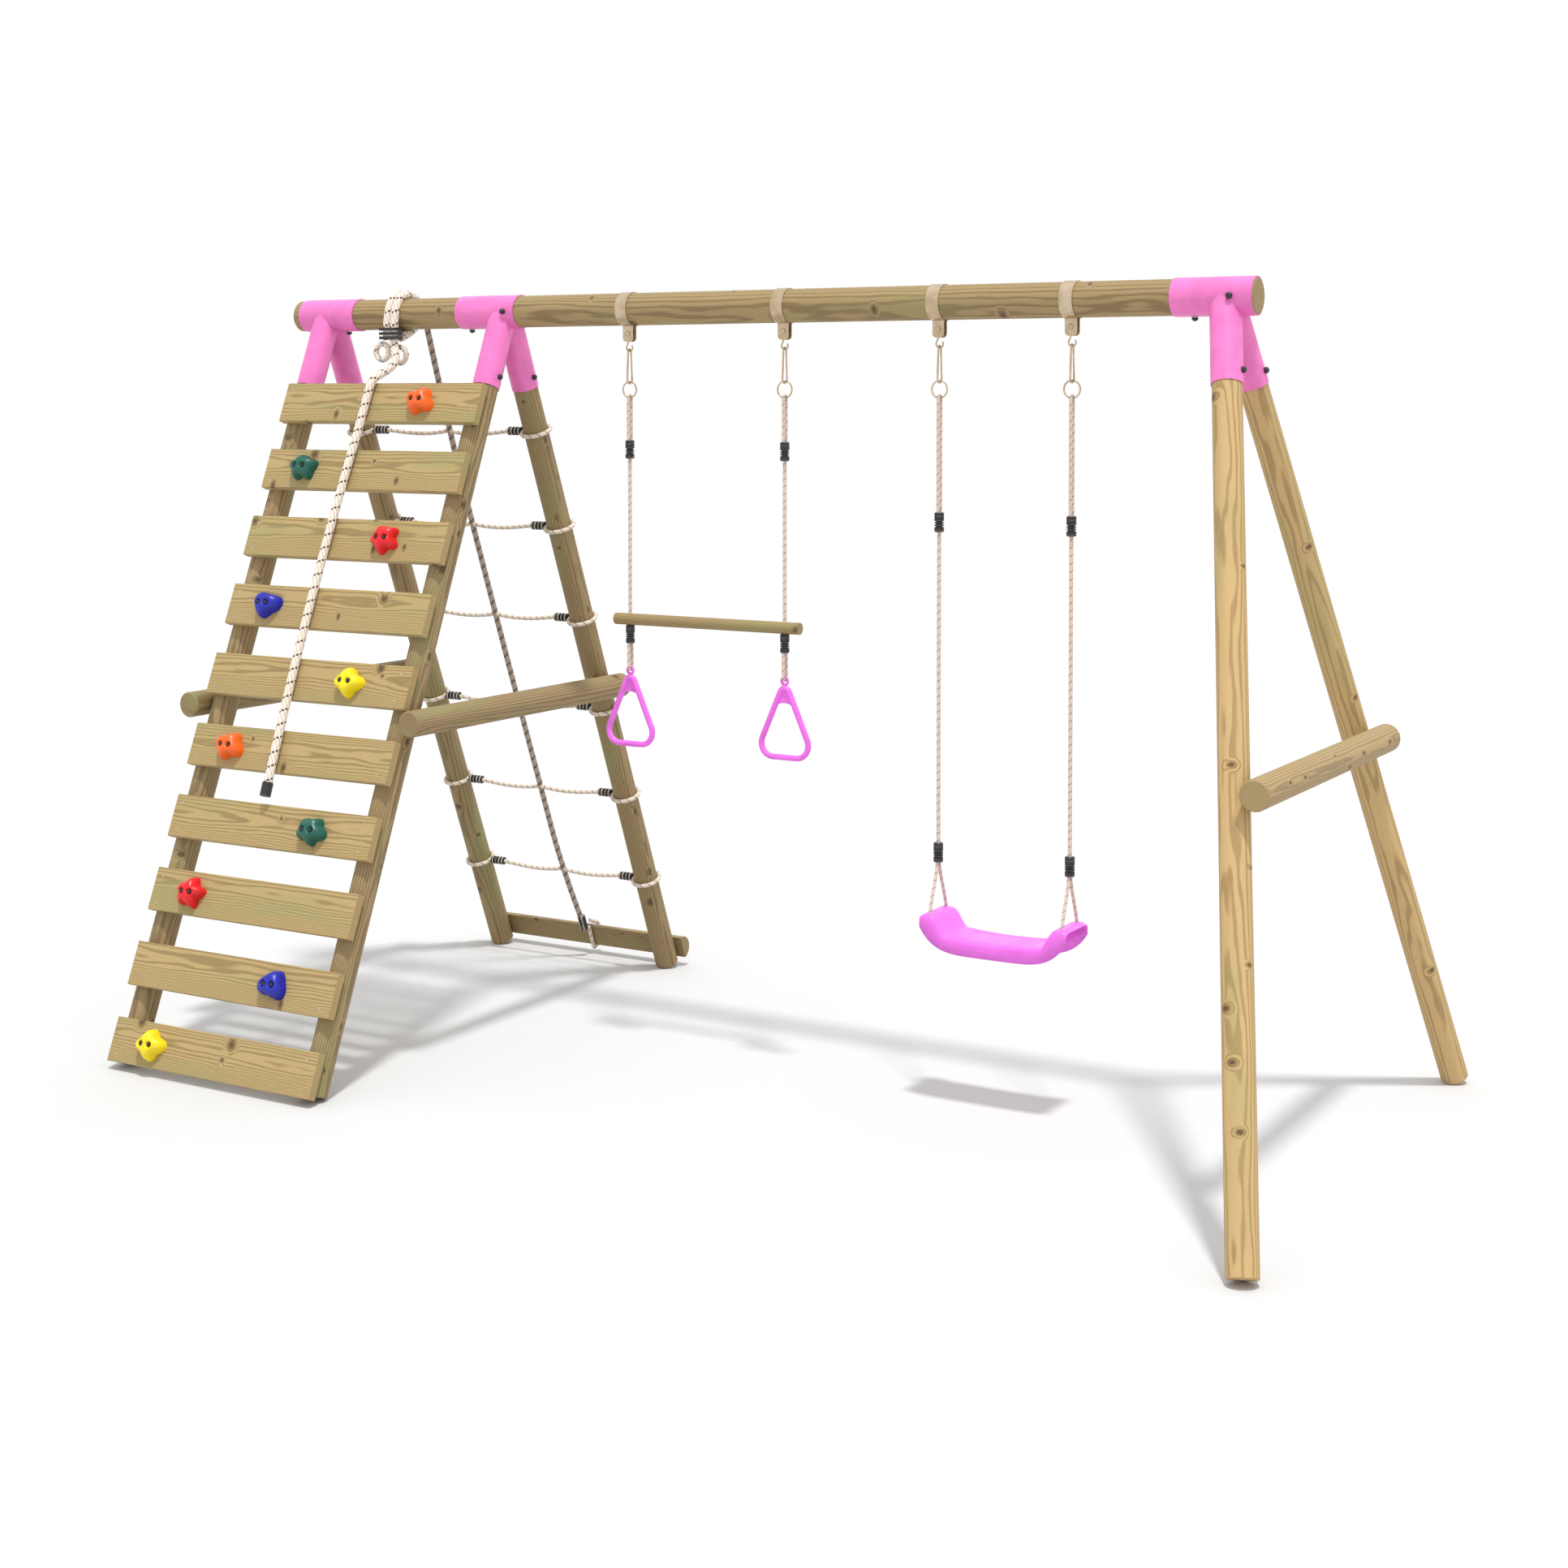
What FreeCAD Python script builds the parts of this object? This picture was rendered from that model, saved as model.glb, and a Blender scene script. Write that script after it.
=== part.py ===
import FreeCAD, Part
import Sketcher
import math
import os

# Garden swing set with a climbing wall, built as a parametric FreeCAD document.
#
# One round beam rests on three A-frames of round poles.  The two frames on the
# left carry ten boards with moulded hand holds in front and a rope net behind.
# From the free stretch of the beam hang a trapeze bar with two ring handles and
# a swing seat, each on two straps with a hook, a carabiner and a ring.
#
# Frame: millimetres, +X along the beam to the single end frame, -Y in front of
# the climbing wall, +Z up, ground at z = 0.  Everything is drawn about the
# ground point below the middle of the beam, and every finished piece is then
# shifted by (shift_x, shift_y), so that the origin is the centre of the plan.

V = FreeCAD.Vector
X_AXIS = V(1, 0, 0)
Y_AXIS = V(0, 1, 0)
Z_AXIS = V(0, 0, 1)

DIMENSIONS = {
    # plan shift of the whole object
    "shift_x": -169.6,
    "shift_y": 9.0,
    # beam and frames
    "beam_height": 2300,
    "beam_length": 3340,
    "beam_diameter": 100,
    "pole_diameter": 80,
    "pole_chamfer": 4,
    "apex_rise": 17,
    "leg_spread": 935,
    "leg_top_gap": 102,
    "left_frame_x": -1550,
    "middle_frame_x": -820,
    "right_frame_x": 1577,
    "right_frame_lean": 396,
    "contact_gap": 0.3,
    # corner brackets
    "bracket_length": 230,
    "bracket_wall": 3,
    "bracket_leg_reach": 277,
    "bracket_bore_start": 62,
    "left_bracket_x": -1526,
    "middle_bracket_x": -869,
    "right_bracket_x": 1552,
    "bolt_cap_diameter": 18,
    "bolt_cap_height": 11,
    # braces and ground rail
    "brace_length": 1120,
    "brace_centre_y": -30,
    "brace_height": 1056,
    "rail_length": 840,
    "rail_slope_distance": 2440,
    # climbing wall
    "board_count": 10,
    "board_length": 800,
    "board_centre_x": -1178,
    "board_width": 133,
    "board_thickness": 28,
    "board_pitch": 230.5,
    "board_start": 289,
    "board_round": 3,
    "screw_head_diameter": 9,
    "screw_recess_depth": 2,
    "screw_edge_distance": 25,
    "hold_right_x": -1003,
    "hold_left_x": -1411,
    "hold_radius": 47,
    "hold_depth": 44,
    "hold_bolt_diameter": 12,
    "hold_bolt_recess": 12,
    # climbing rope
    "climbing_rope_diameter": 28,
    "end_cap_diameter": 34,
    "end_cap_length": 42,
    # net
    "net_rung_count": 6,
    "net_first_rung": 430,
    "net_rung_pitch": 340.6,
    "net_rope_diameter": 14,
    "net_centre_diameter": 20,
    "net_centre_x": -1184,
    "net_rung_sag": 13,
    # rope clips
    "clip_diameter": 28,
    "clip_length": 56,
    # hangers
    "strap_width": 40,
    "strap_thickness": 3,
    "tab_width": 36,
    "tab_gap": 16,
    "tab_reach": 100,
    "hanger_bolt_drop": 74,
    "hanger_bolt_diameter": 8,
    "hook_wire": 5,
    "hook_radius": 11,
    "hook_drop": 44,
    "carabiner_wire": 6,
    "carabiner_top_radius": 8,
    "carabiner_bottom_radius": 13,
    "carabiner_centre_distance": 84.8,
    "gate_wire": 5,
    "gate_pivot_distance": 16,
    "gate_length": 50,
    "link_ring_wire": 5,
    "link_ring_radius": 24.5,
    # ropes of the trapeze and the swing
    "double_rope_diameter": 10,
    "single_rope_diameter": 12,
    # trapeze
    "trapeze_x": -65.5,
    "trapeze_rope_spacing": 555,
    "trapeze_clip_top": 1896,
    "trapeze_bar_height": 1342,
    "trapeze_bar_length": 660,
    "trapeze_bar_diameter": 36,
    # ring handles
    "handle_tube_diameter": 18,
    "handle_half_base": 102,
    "handle_apex_height": 1185,
    "handle_base_height": 954,
    "handle_corner_radius": 40,
    "handle_apex_radius": 16,
    "handle_eye_height": 1183,
    "handle_eye_radius": 11,
    "handle_eye_wire": 8,
    "handle_web_thickness": 5,
    # swing
    "swing_x": 930,
    "swing_rope_spacing": 410,
    "swing_upper_clip_top": 1700,
    "swing_lower_clip_top": 748,
    "seat_length": 456,
    "seat_depth": 160,
    "seat_height": 447,
    "seat_wall": 5,
    "seat_strand_spread": 106,
}

doc = FreeCAD.newDocument("swing_set")
sheet = doc.addObject("Spreadsheet::Sheet", "Sheet")
for row, (alias, value) in enumerate(DIMENSIONS.items(), start=1):
    sheet.set(f"A{row}", alias)
    sheet.set(f"B{row}", str(value))
    sheet.setAlias(f"B{row}", alias)
doc.recompute()


def dim(alias):
    """Return one driving dimension from the sheet, in millimetres."""
    return float(sheet.get(alias))


# ---------------------------------------------------------------------------
# Frames of reference
# ---------------------------------------------------------------------------

SHIFT = V(dim("shift_x"), dim("shift_y"), 0)
APEX_HEIGHT = dim("beam_height") + dim("apex_rise")
LEG_TILT = math.degrees(math.atan2(dim("leg_spread"), APEX_HEIGHT))
POLE_RADIUS = dim("pole_diameter") / 2
WALL_FACE = POLE_RADIUS + dim("contact_gap") + dim("board_thickness")

# Both planes start at the apex line.  In the wall plane local +Y runs up the
# slope and local +Z comes out of the boards; in the net plane local +Y runs
# down the slope and local +Z points away from the wall.
WALL_PLANE = FreeCAD.Placement(V(0, 0, APEX_HEIGHT), FreeCAD.Rotation(X_AXIS, 90 - LEG_TILT))
NET_PLANE = FreeCAD.Placement(V(0, 0, APEX_HEIGHT), FreeCAD.Rotation(X_AXIS, LEG_TILT - 90))


def on_wall(x, down_slope, out):
    """Turn wall coordinates (along beam, down the slope, out of the wall) into a point."""
    return WALL_PLANE.multVec(V(x, -down_slope, out))


def on_net(x, down_slope, out):
    """Turn net coordinates (along beam, down the slope, away from the net) into a point."""
    return NET_PLANE.multVec(V(x, down_slope, out))


def leg_direction(side, lean=0):
    """Unit vector down a leg: side -1 is the wall side, +1 the net side."""
    direction = V(lean, side * dim("leg_spread"), -APEX_HEIGHT)
    return direction.normalize()


def along(origin, direction, distance):
    """Point at a distance from origin along a unit direction."""
    return origin + V(direction).multiply(distance)


def place(point, direction=Z_AXIS):
    """Placement that puts local +Z along a direction, at a point."""
    return FreeCAD.Placement(point, FreeCAD.Rotation(Z_AXIS, direction))


nodes = []


def finish(node, label, local=None):
    """Name a finished piece and move it into the object's own frame."""
    node.Label = label
    shift = FreeCAD.Placement(SHIFT, FreeCAD.Rotation())
    node.Placement = shift.multiply(local) if local else shift
    nodes.append(node)
    return node


def feature(label, shape):
    """Make a Part::Feature from a shape built with Part's own functions."""
    node = doc.addObject("Part::Feature", label)
    node.Shape = shape
    return finish(node, label)


def repeat(label, master, placements):
    """Make one node from copies of a master shape, one at each placement."""
    copies = []
    for placement in placements:
        copy = master.copy()
        copy.Placement = placement.multiply(master.Placement)
        copies.append(copy)
    return feature(label, Part.makeCompound(copies))


def origin_plane(body, role):
    """Find one of a body's own origin planes by its role."""
    return [item for item in body.Origin.OriginFeatures if item.Role == role][0]


def sketch_on(body, name, role="XY_Plane"):
    """Add a sketch to a body, flat on one of its origin planes."""
    sketch = body.newObject("Sketcher::SketchObject", name)
    sketch.AttachmentSupport = [(origin_plane(body, role), "")]
    sketch.MapMode = "FlatFace"
    return sketch


def circle_sketch(body, name, radius_expression, centre=V(0, 0, 0)):
    """Add a sketch with one circle whose radius follows the sheet."""
    sketch = sketch_on(body, name)
    index = sketch.addGeometry(Part.Circle(centre, Z_AXIS, 10), False)
    radius = sketch.addConstraint(Sketcher.Constraint("Radius", index, 10))
    sketch.addConstraint(Sketcher.Constraint("DistanceX", -1, 1, index, 3, centre.x))
    sketch.addConstraint(Sketcher.Constraint("DistanceY", -1, 1, index, 3, centre.y))
    sketch.setExpression(f"Constraints[{radius}]", radius_expression)
    return sketch


def padded(body, sketch, length_expression):
    """Pad a sketch by a length that follows the sheet."""
    pad = body.newObject("PartDesign::Pad", f"{body.Name}_pad")
    pad.Profile = sketch
    pad.setExpression("Length", length_expression)
    sketch.Visibility = False
    return pad


def circular_edges(shape, radius):
    """Names of the full circles of one radius."""
    names = []
    for index, edge in enumerate(shape.Edges, start=1):
        is_circle = edge.Curve.TypeId == "Part::GeomCircle"
        if is_circle and abs(edge.Curve.Radius - radius) < 0.01:
            names.append(f"Edge{index}")
    return names


def pole(label, radius_expression, length_expression, local):
    """Round pole with chamfered ends, its axis along local +Z."""
    body = doc.addObject("PartDesign::Body", label)
    sketch = circle_sketch(body, f"{label}_section", radius_expression)
    pad = padded(body, sketch, length_expression)
    doc.recompute()
    chamfer = body.newObject("PartDesign::Chamfer", f"{label}_chamfer")
    radius = pad.Shape.BoundBox.XLength / 2
    chamfer.Base = (pad, circular_edges(pad.Shape, radius))
    chamfer.setExpression("Size", "Sheet.pole_chamfer")
    return finish(body, label, local)


def tube(points, diameter, corner_radius=None):
    """Round tube along straight runs joined by tangent arcs.

    Each arc takes 0.45 of the shorter run beside it, unless corner_radius is
    given.  Returns the solid, after comparing its volume with section x length.
    """
    edges = []
    start = points[0]
    radii = []
    for before, corner, after in zip(points, points[1:], points[2:]):
        incoming = (corner - before)
        outgoing = (after - corner)
        half_turn = incoming.getAngle(outgoing) / 2
        shorter = min(incoming.Length, outgoing.Length)
        radius = corner_radius or 0.45 * shorter / math.tan(half_turn)
        cut = radius * math.tan(half_turn)
        incoming.normalize()
        outgoing.normalize()
        first = along(corner, incoming, -cut)
        last = along(corner, outgoing, cut)
        inward = (outgoing - incoming).normalize()
        middle = along(corner, inward, radius / math.cos(half_turn) - radius)
        edges.append(Part.LineSegment(start, first).toShape())
        edges.append(Part.Arc(first, middle, last).toShape())
        start = last
        radii.append(radius)
    edges.append(Part.LineSegment(start, points[-1]).toShape())
    path = Part.Wire(edges)
    direction = points[1] - points[0]
    section = Part.Wire([Part.Circle(points[0], direction, diameter / 2).toShape()])
    solid = path.makePipeShell([section], True, False)
    expected = math.pi * diameter ** 2 / 4 * path.Length
    if abs(solid.Volume / expected - 1) > 0.01:
        raise RuntimeError(f"tube volume {solid.Volume:.0f} is not {expected:.0f}")
    if radii:
        print("tube of diameter", diameter, "smallest arc radius", round(min(radii), 1))
    return solid


# ---------------------------------------------------------------------------
# Beam, brackets, legs, braces and rail
# ---------------------------------------------------------------------------

FRAMES = {
    "left": (dim("left_frame_x"), 0, dim("left_bracket_x")),
    "middle": (dim("middle_frame_x"), 0, dim("middle_bracket_x")),
    "right": (dim("right_frame_x"), dim("right_frame_lean"), dim("right_bracket_x")),
}
LEGS = {
    "wall_leg_left": ("left", -1),
    "wall_leg_right": ("middle", -1),
    "net_leg_left": ("left", 1),
    "net_leg_right": ("middle", 1),
    "end_leg_front": ("right", -1),
    "end_leg_back": ("right", 1),
}
POLE_SECTION = "Sheet.pole_diameter / 2"
APEX = "(Sheet.beam_height + Sheet.apex_rise)"


def apex(frame_name):
    """Point where the two leg axes of a frame meet."""
    return V(FRAMES[frame_name][0], 0, APEX_HEIGHT)


def make_beam():
    """Round beam with chamfered ends, along X."""
    start = V(-dim("beam_length") / 2, 0, dim("beam_height"))
    pole("top_beam", "Sheet.beam_diameter / 2", "Sheet.beam_length", place(start, X_AXIS))


def make_legs():
    """Six legs, each from just below its apex to its rim on the ground."""
    for label, (frame_name, side) in LEGS.items():
        lean = FRAMES[frame_name][1]
        lean_term = "Sheet.right_frame_lean^2 + " if lean else ""
        run = f"sqrt({lean_term}Sheet.leg_spread^2)"
        slope = f"sqrt({lean_term}Sheet.leg_spread^2 + {APEX}^2)"
        rim = f"(Sheet.pole_diameter / 2 - Sheet.pole_chamfer) * {run} / {APEX}"
        length = f"{slope} - {rim} - Sheet.leg_top_gap"
        direction = leg_direction(side, lean)
        start = along(apex(frame_name), direction, dim("leg_top_gap"))
        pole(label, POLE_SECTION, length, place(start, direction))


def cylinder(name, radius_expression, height_expression, local):
    """Part::Cylinder whose sizes follow the sheet."""
    solid = doc.addObject("Part::Cylinder", name)
    solid.setExpression("Radius", radius_expression)
    solid.setExpression("Height", height_expression)
    solid.Placement = local
    return solid


def joined(name, parts):
    """Fuse several document objects."""
    fuse = doc.addObject("Part::MultiFuse", name)
    fuse.Shapes = parts
    return fuse


def cut(name, base, tool):
    """Cut one document object from another."""
    result = doc.addObject("Part::Cut", name)
    result.Base = base
    result.Tool = tool
    return result


def make_brackets():
    """Corner brackets: a sleeve round the beam with two welded leg sleeves."""
    beam_bore = "Sheet.beam_diameter / 2 + Sheet.contact_gap"
    leg_bore = "Sheet.pole_diameter / 2 + Sheet.contact_gap"
    for frame_name, (_, lean, bracket_x) in FRAMES.items():
        sleeve_start = V(bracket_x - dim("bracket_length") / 2, 0, dim("beam_height"))
        outers = [cylinder(f"{frame_name}_sleeve", f"{beam_bore} + Sheet.bracket_wall",
                           "Sheet.bracket_length", place(sleeve_start, X_AXIS))]
        bores = [cylinder(f"{frame_name}_bore", beam_bore, "Sheet.bracket_length + 2",
                          place(sleeve_start - X_AXIS, X_AXIS))]
        for side in (-1, 1):
            direction = leg_direction(side, lean)
            side_name = "front" if side < 0 else "back"
            outers.append(cylinder(f"{frame_name}_{side_name}_sleeve",
                                   f"{leg_bore} + Sheet.bracket_wall", "Sheet.bracket_leg_reach",
                                   place(apex(frame_name), direction)))
            bore_start = along(apex(frame_name), direction, dim("bracket_bore_start"))
            bores.append(cylinder(f"{frame_name}_{side_name}_bore", leg_bore,
                                  "Sheet.bracket_leg_reach", place(bore_start, direction)))
        outer = joined(f"{frame_name}_bracket_outer", outers)
        inner = joined(f"{frame_name}_bracket_bores", bores)
        finish(cut(f"{frame_name}_bracket", outer, inner), f"{frame_name}_bracket")


def dome_shape(diameter, height):
    """Domed cap, flat side at z = 0, opening along +Z."""
    drum = Part.makeCylinder(diameter / 2, height / 2)
    sphere_radius = (diameter ** 2 / 4 + height ** 2 / 4) / height
    ball = Part.makeSphere(sphere_radius, V(0, 0, height - sphere_radius))
    upper = Part.makeCylinder(diameter / 2, height, V(0, 0, height / 2))
    return drum.fuse(ball.common(upper)).removeSplitter()


def make_bolt_caps():
    """Caps over the bolt ends of the brackets."""
    cap = dome_shape(dim("bolt_cap_diameter"), dim("bolt_cap_height"))
    sleeve_radius = dim("beam_diameter") / 2 + dim("contact_gap") + dim("bracket_wall")
    leg_sleeve_radius = POLE_RADIUS + dim("contact_gap") + dim("bracket_wall")
    seat_gap = 1.0
    places = []
    for frame_name, (frame_x, lean, bracket_x) in FRAMES.items():
        outside = -1 if frame_name == "left" else 1
        for side in (-1, 1):
            direction = leg_direction(side, lean)
            outward = (Y_AXIS.cross(direction) * -outside * 1.0)
            outward = V(outward.x, 0, outward.z).normalize()
            if outward.x * outside < 0:
                outward = outward * -1
            point = along(apex(frame_name), direction, dim("bracket_leg_reach") - 35)
            point = along(point, outward, leg_sleeve_radius + seat_gap)
            places.append(place(point, outward))
        low = V(2 * bracket_x - frame_x - 35 * outside, 0, dim("beam_height") - sleeve_radius)
        places.append(place(low - V(0, 0, seat_gap), V(0, 0, -1)))
        if frame_name != "left":
            front = V(frame_x + 30, -sleeve_radius - seat_gap, dim("beam_height"))
            places.append(place(front, V(0, -1, 0)))
    repeat("bolt_caps", cap, places)


def make_braces():
    """Level braces bolted on the outer side of each frame."""
    start_y = dim("brace_centre_y") - dim("brace_length") / 2
    height = dim("brace_height")
    for frame_name, (frame_x, lean, _) in FRAMES.items():
        outside = -1 if frame_name == "left" else 1
        down = V(lean, 0, -APEX_HEIGHT).normalize()
        outward = V(-down.z, 0, down.x) * outside
        centre_line = V(frame_x + lean * (APEX_HEIGHT - height) / APEX_HEIGHT, start_y, height)
        start = along(centre_line, outward, dim("pole_diameter") + dim("contact_gap"))
        pole(f"brace_{frame_name}", POLE_SECTION, "Sheet.brace_length", place(start, Y_AXIS))


def make_ground_rail():
    """Half-round rail behind the feet of the net legs, flat side to the legs."""
    body = doc.addObject("PartDesign::Body", "ground_rail")
    sketch = sketch_on(body, "rail_section", "YZ_Plane")
    radius = POLE_RADIUS
    sketch.addGeometry(Part.ArcOfCircle(Part.Circle(V(0, 0, 0), Z_AXIS, radius), 0, math.pi))
    sketch.addGeometry(Part.LineSegment(V(-radius, 0, 0), V(radius, 0, 0)))
    sketch.addConstraint(Sketcher.Constraint("Coincident", 0, 3, -1, 1))
    sketch.addConstraint(Sketcher.Constraint("Coincident", 1, 1, 0, 2))
    sketch.addConstraint(Sketcher.Constraint("Coincident", 1, 2, 0, 1))
    sketch.addConstraint(Sketcher.Constraint("Horizontal", 1))
    size = sketch.addConstraint(Sketcher.Constraint("Radius", 0, radius))
    sketch.setExpression(f"Constraints[{size}]", POLE_SECTION)
    padded(body, sketch, "Sheet.rail_length")
    middle = (dim("left_frame_x") + dim("middle_frame_x")) / 2
    start = on_net(middle - dim("rail_length") / 2, dim("rail_slope_distance"),
                   POLE_RADIUS + dim("contact_gap"))
    finish(body, "ground_rail", FreeCAD.Placement(start, NET_PLANE.Rotation))


# ---------------------------------------------------------------------------
# Climbing wall
# ---------------------------------------------------------------------------

BOARD_COUNT = int(dim("board_count"))
SCREW_LINES = (dim("left_frame_x"), dim("middle_frame_x"))


def board_centre(index):
    """Distance of a board's middle down the slope."""
    return dim("board_start") + index * dim("board_pitch") + dim("board_width") / 2


def screw_points():
    """Board-local points of the four screws of a board."""
    offset = dim("board_width") / 2 - dim("screw_edge_distance")
    return [V(x - dim("board_centre_x"), side * offset, 0)
            for x in SCREW_LINES for side in (-1, 1)]


def make_boards():
    """Ten boards with rounded long edges and four screw recesses each."""
    for index in range(BOARD_COUNT):
        label = f"wall_board_{index + 1:02d}"
        body = doc.addObject("PartDesign::Body", label)
        box = body.newObject("PartDesign::AdditiveBox", f"{label}_plank")
        box.setExpression("Length", "Sheet.board_length")
        box.setExpression("Width", "Sheet.board_width")
        box.setExpression("Height", "Sheet.board_thickness")
        doc.recompute()
        long_edges = [f"Edge{number}" for number, edge in enumerate(box.Shape.Edges, start=1)
                      if edge.BoundBox.XLength > dim("board_length") - 1]
        fillet = body.newObject("PartDesign::Fillet", f"{label}_round")
        fillet.Base = (box, long_edges)
        fillet.setExpression("Radius", "Sheet.board_round")
        recess = sketch_on(body, f"{label}_screw_recesses")
        recess.AttachmentOffset = FreeCAD.Placement(
            V(dim("board_length") / 2, dim("board_width") / 2, dim("board_thickness")),
            FreeCAD.Rotation())
        for number, point in enumerate(screw_points()):
            recess.addGeometry(Part.Circle(point, Z_AXIS, 5), False)
            size = recess.addConstraint(Sketcher.Constraint("Radius", number, 5))
            recess.setExpression(f"Constraints[{size}]",
                                 "Sheet.screw_head_diameter / 2 + Sheet.contact_gap")
        pocket = body.newObject("PartDesign::Pocket", f"{label}_recesses")
        pocket.Profile = recess
        pocket.setExpression("Length", "Sheet.screw_recess_depth")
        corner = on_wall(dim("board_centre_x") - dim("board_length") / 2,
                         board_centre(index) + dim("board_width") / 2,
                         POLE_RADIUS + dim("contact_gap"))
        finish(body, label, FreeCAD.Placement(corner, WALL_PLANE.Rotation))


def make_board_screws():
    """Screw heads, level with the board faces."""
    head = Part.makeCylinder(dim("screw_head_diameter") / 2, dim("screw_recess_depth"))
    places = []
    for index in range(BOARD_COUNT):
        for point in screw_points():
            base = on_wall(point.x + dim("board_centre_x"), board_centre(index) - point.y,
                           WALL_FACE - dim("screw_recess_depth"))
            places.append(FreeCAD.Placement(base, WALL_PLANE.Rotation))
    repeat("board_screws", head, places)


# Every colour has its own lobed outline: (lobes, lobe depth, stretch, phase in
# degrees).  Each lobe is an arc between two valleys of the outline.
HOLD_SHAPES = {
    "hold_orange": (4, 0.13, 0.12, 20),
    "hold_green": (5, 0.12, 0.14, 60),
    "hold_red": (5, 0.16, 0.04, 10),
    "hold_blue": (3, 0.12, 0.13, 75),
    "hold_yellow": (4, 0.14, 0.08, 50),
}
HOLD_LAYERS = ((0.0, 1.0), (0.35, 1.02), (0.75, 0.86), (1.0, 0.66))
HOLD_BOLT_OFFSET = 16


def hold_point(shape, share, half_lobes, height):
    """Point of a hold's outline: a valley at even half lobes, a peak at odd ones."""
    lobes, depth, stretch, phase = shape
    angle = math.pi * half_lobes / lobes + math.radians(phase)
    peak = 1 if half_lobes % 2 else -1
    radius = dim("hold_radius") * share * (1 + peak * depth + stretch * math.cos(2 * angle))
    return V(radius * math.cos(angle), radius * math.sin(angle), height)


def hold_body(shape):
    """Solid of one hold: its lobed outline widens a little, then narrows to a flat crown."""
    depth = dim("hold_depth")
    rings = []
    for level, share in HOLD_LAYERS:
        arcs = [Part.Arc(*(hold_point(shape, share, 2 * lobe + step, depth * level)
                           for step in range(3))).toShape() for lobe in range(shape[0])]
        rings.append(Part.Wire(arcs))
    return Part.makeLoft(rings, True, True)


def hold_position(index):
    """Middle of a hold on the face of its board."""
    x = dim("hold_right_x") if index % 2 == 0 else dim("hold_left_x")
    return on_wall(x, board_centre(index), WALL_FACE)


def hold_places(colour_index):
    """Placements of the two holds of one colour, the second one turned over."""
    places = []
    for turn, index in ((0, colour_index), (180, colour_index + 5)):
        spin = FreeCAD.Rotation(Z_AXIS, turn)
        places.append(FreeCAD.Placement(hold_position(index), WALL_PLANE.Rotation.multiply(spin)))
    return places


def make_holds():
    """Moulded hand holds in pairs of one colour, and their bolt heads."""
    bolt_radius = dim("hold_bolt_diameter") / 2
    depth = dim("hold_depth")
    recess_floor = depth - dim("hold_bolt_recess")
    bolt_places = []
    for colour_index, (label, shape) in enumerate(HOLD_SHAPES.items()):
        hold = hold_body(shape)
        for side in (-1, 1):
            bottom = V(side * HOLD_BOLT_OFFSET, 0, recess_floor)
            hold = hold.cut(Part.makeCylinder(bolt_radius + dim("contact_gap"), depth, bottom))
            for place_on_wall in hold_places(colour_index):
                bolt_places.append(place_on_wall.multiply(place(bottom)))
        repeat(label, hold, hold_places(colour_index))
    head = Part.makeCylinder(bolt_radius, dim("hold_bolt_recess") / 2)
    repeat("hold_bolts", head, bolt_places)


# ---------------------------------------------------------------------------
# Climbing rope
# ---------------------------------------------------------------------------

ROPE_FACE = WALL_FACE + dim("climbing_rope_diameter") / 2
STRAND_X = (-1252, -1223.5)


def climbing_rope_points():
    """Route of the hanging rope, from the clamp over the top board and down the wall."""
    return [
        V(STRAND_X[1], -64, 2213.7),
        V(STRAND_X[1], -64.3, 2190),
        V(-1203, -78, 2162),
        V(-1194, -104, 2130),
        V(-1203, -142, 2108),
        on_wall(-1211, 287, ROPE_FACE + 9),
        on_wall(-1216, 352, ROPE_FACE + 1.5),
        on_wall(-1220, 470, ROPE_FACE + 1),
        on_wall(-1227, 690, ROPE_FACE + 1.5),
        on_wall(-1232, 985, ROPE_FACE + 1),
        on_wall(-1228, 1320, ROPE_FACE + 1.5),
        on_wall(-1212, 1610, ROPE_FACE + 4),
    ]


def make_climbing_rope():
    """Free rope with its end cap, and the hitch and bands that hold it to the beam."""
    diameter = dim("climbing_rope_diameter")
    points = climbing_rope_points()
    rope = tube(points, diameter)
    feature("climbing_rope", rope)
    rope_length = rope.Volume / (math.pi * diameter ** 2 / 4)
    print("climbing rope length", round(rope_length))

    tail = (points[-1] - points[-2]).normalize()
    cap = Part.makeCylinder(dim("end_cap_diameter") / 2, dim("end_cap_length"))
    repeat("climbing_rope_end_cap", cap, [place(points[-1], tail)])

    beam = dim("beam_height")
    wrap = dim("beam_diameter") / 2 + diameter / 2 + dim("contact_gap")
    strands = []
    for x in STRAND_X:
        route = [V(x, -wrap, beam - 86), V(x, -wrap, beam + wrap), V(x, wrap, beam + wrap),
                 V(x, wrap + 2, beam - 50), V(x, -32, beam - 77)]
        strands.append(tube(route, diameter, corner_radius=50))
    loop_radius = 26
    for centre in (V(-1270, -66, 2176), V(-1227, -30, 2166)):
        strands.append(Part.makeTorus(loop_radius, 9, centre, Y_AXIS))
    feature("climbing_rope_hitch", Part.makeCompound(strands))

    band_wall = 4
    inner_x = STRAND_X[1] - STRAND_X[0] + diameter + 2 * dim("contact_gap")
    inner_y = diameter + 2 * dim("contact_gap")
    band = Part.makeBox(inner_x + 2 * band_wall, inner_y + 2 * band_wall, 9)
    band = band.cut(Part.makeBox(inner_x, inner_y, 9, V(band_wall, band_wall, 0)))
    corner_x = sum(STRAND_X) / 2 - inner_x / 2 - band_wall
    corner_y = -wrap - inner_y / 2 - band_wall
    places = [FreeCAD.Placement(V(corner_x, corner_y, z), FreeCAD.Rotation())
              for z in (2217, 2231, 2245)]
    repeat("climbing_rope_bands", band, places)


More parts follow.
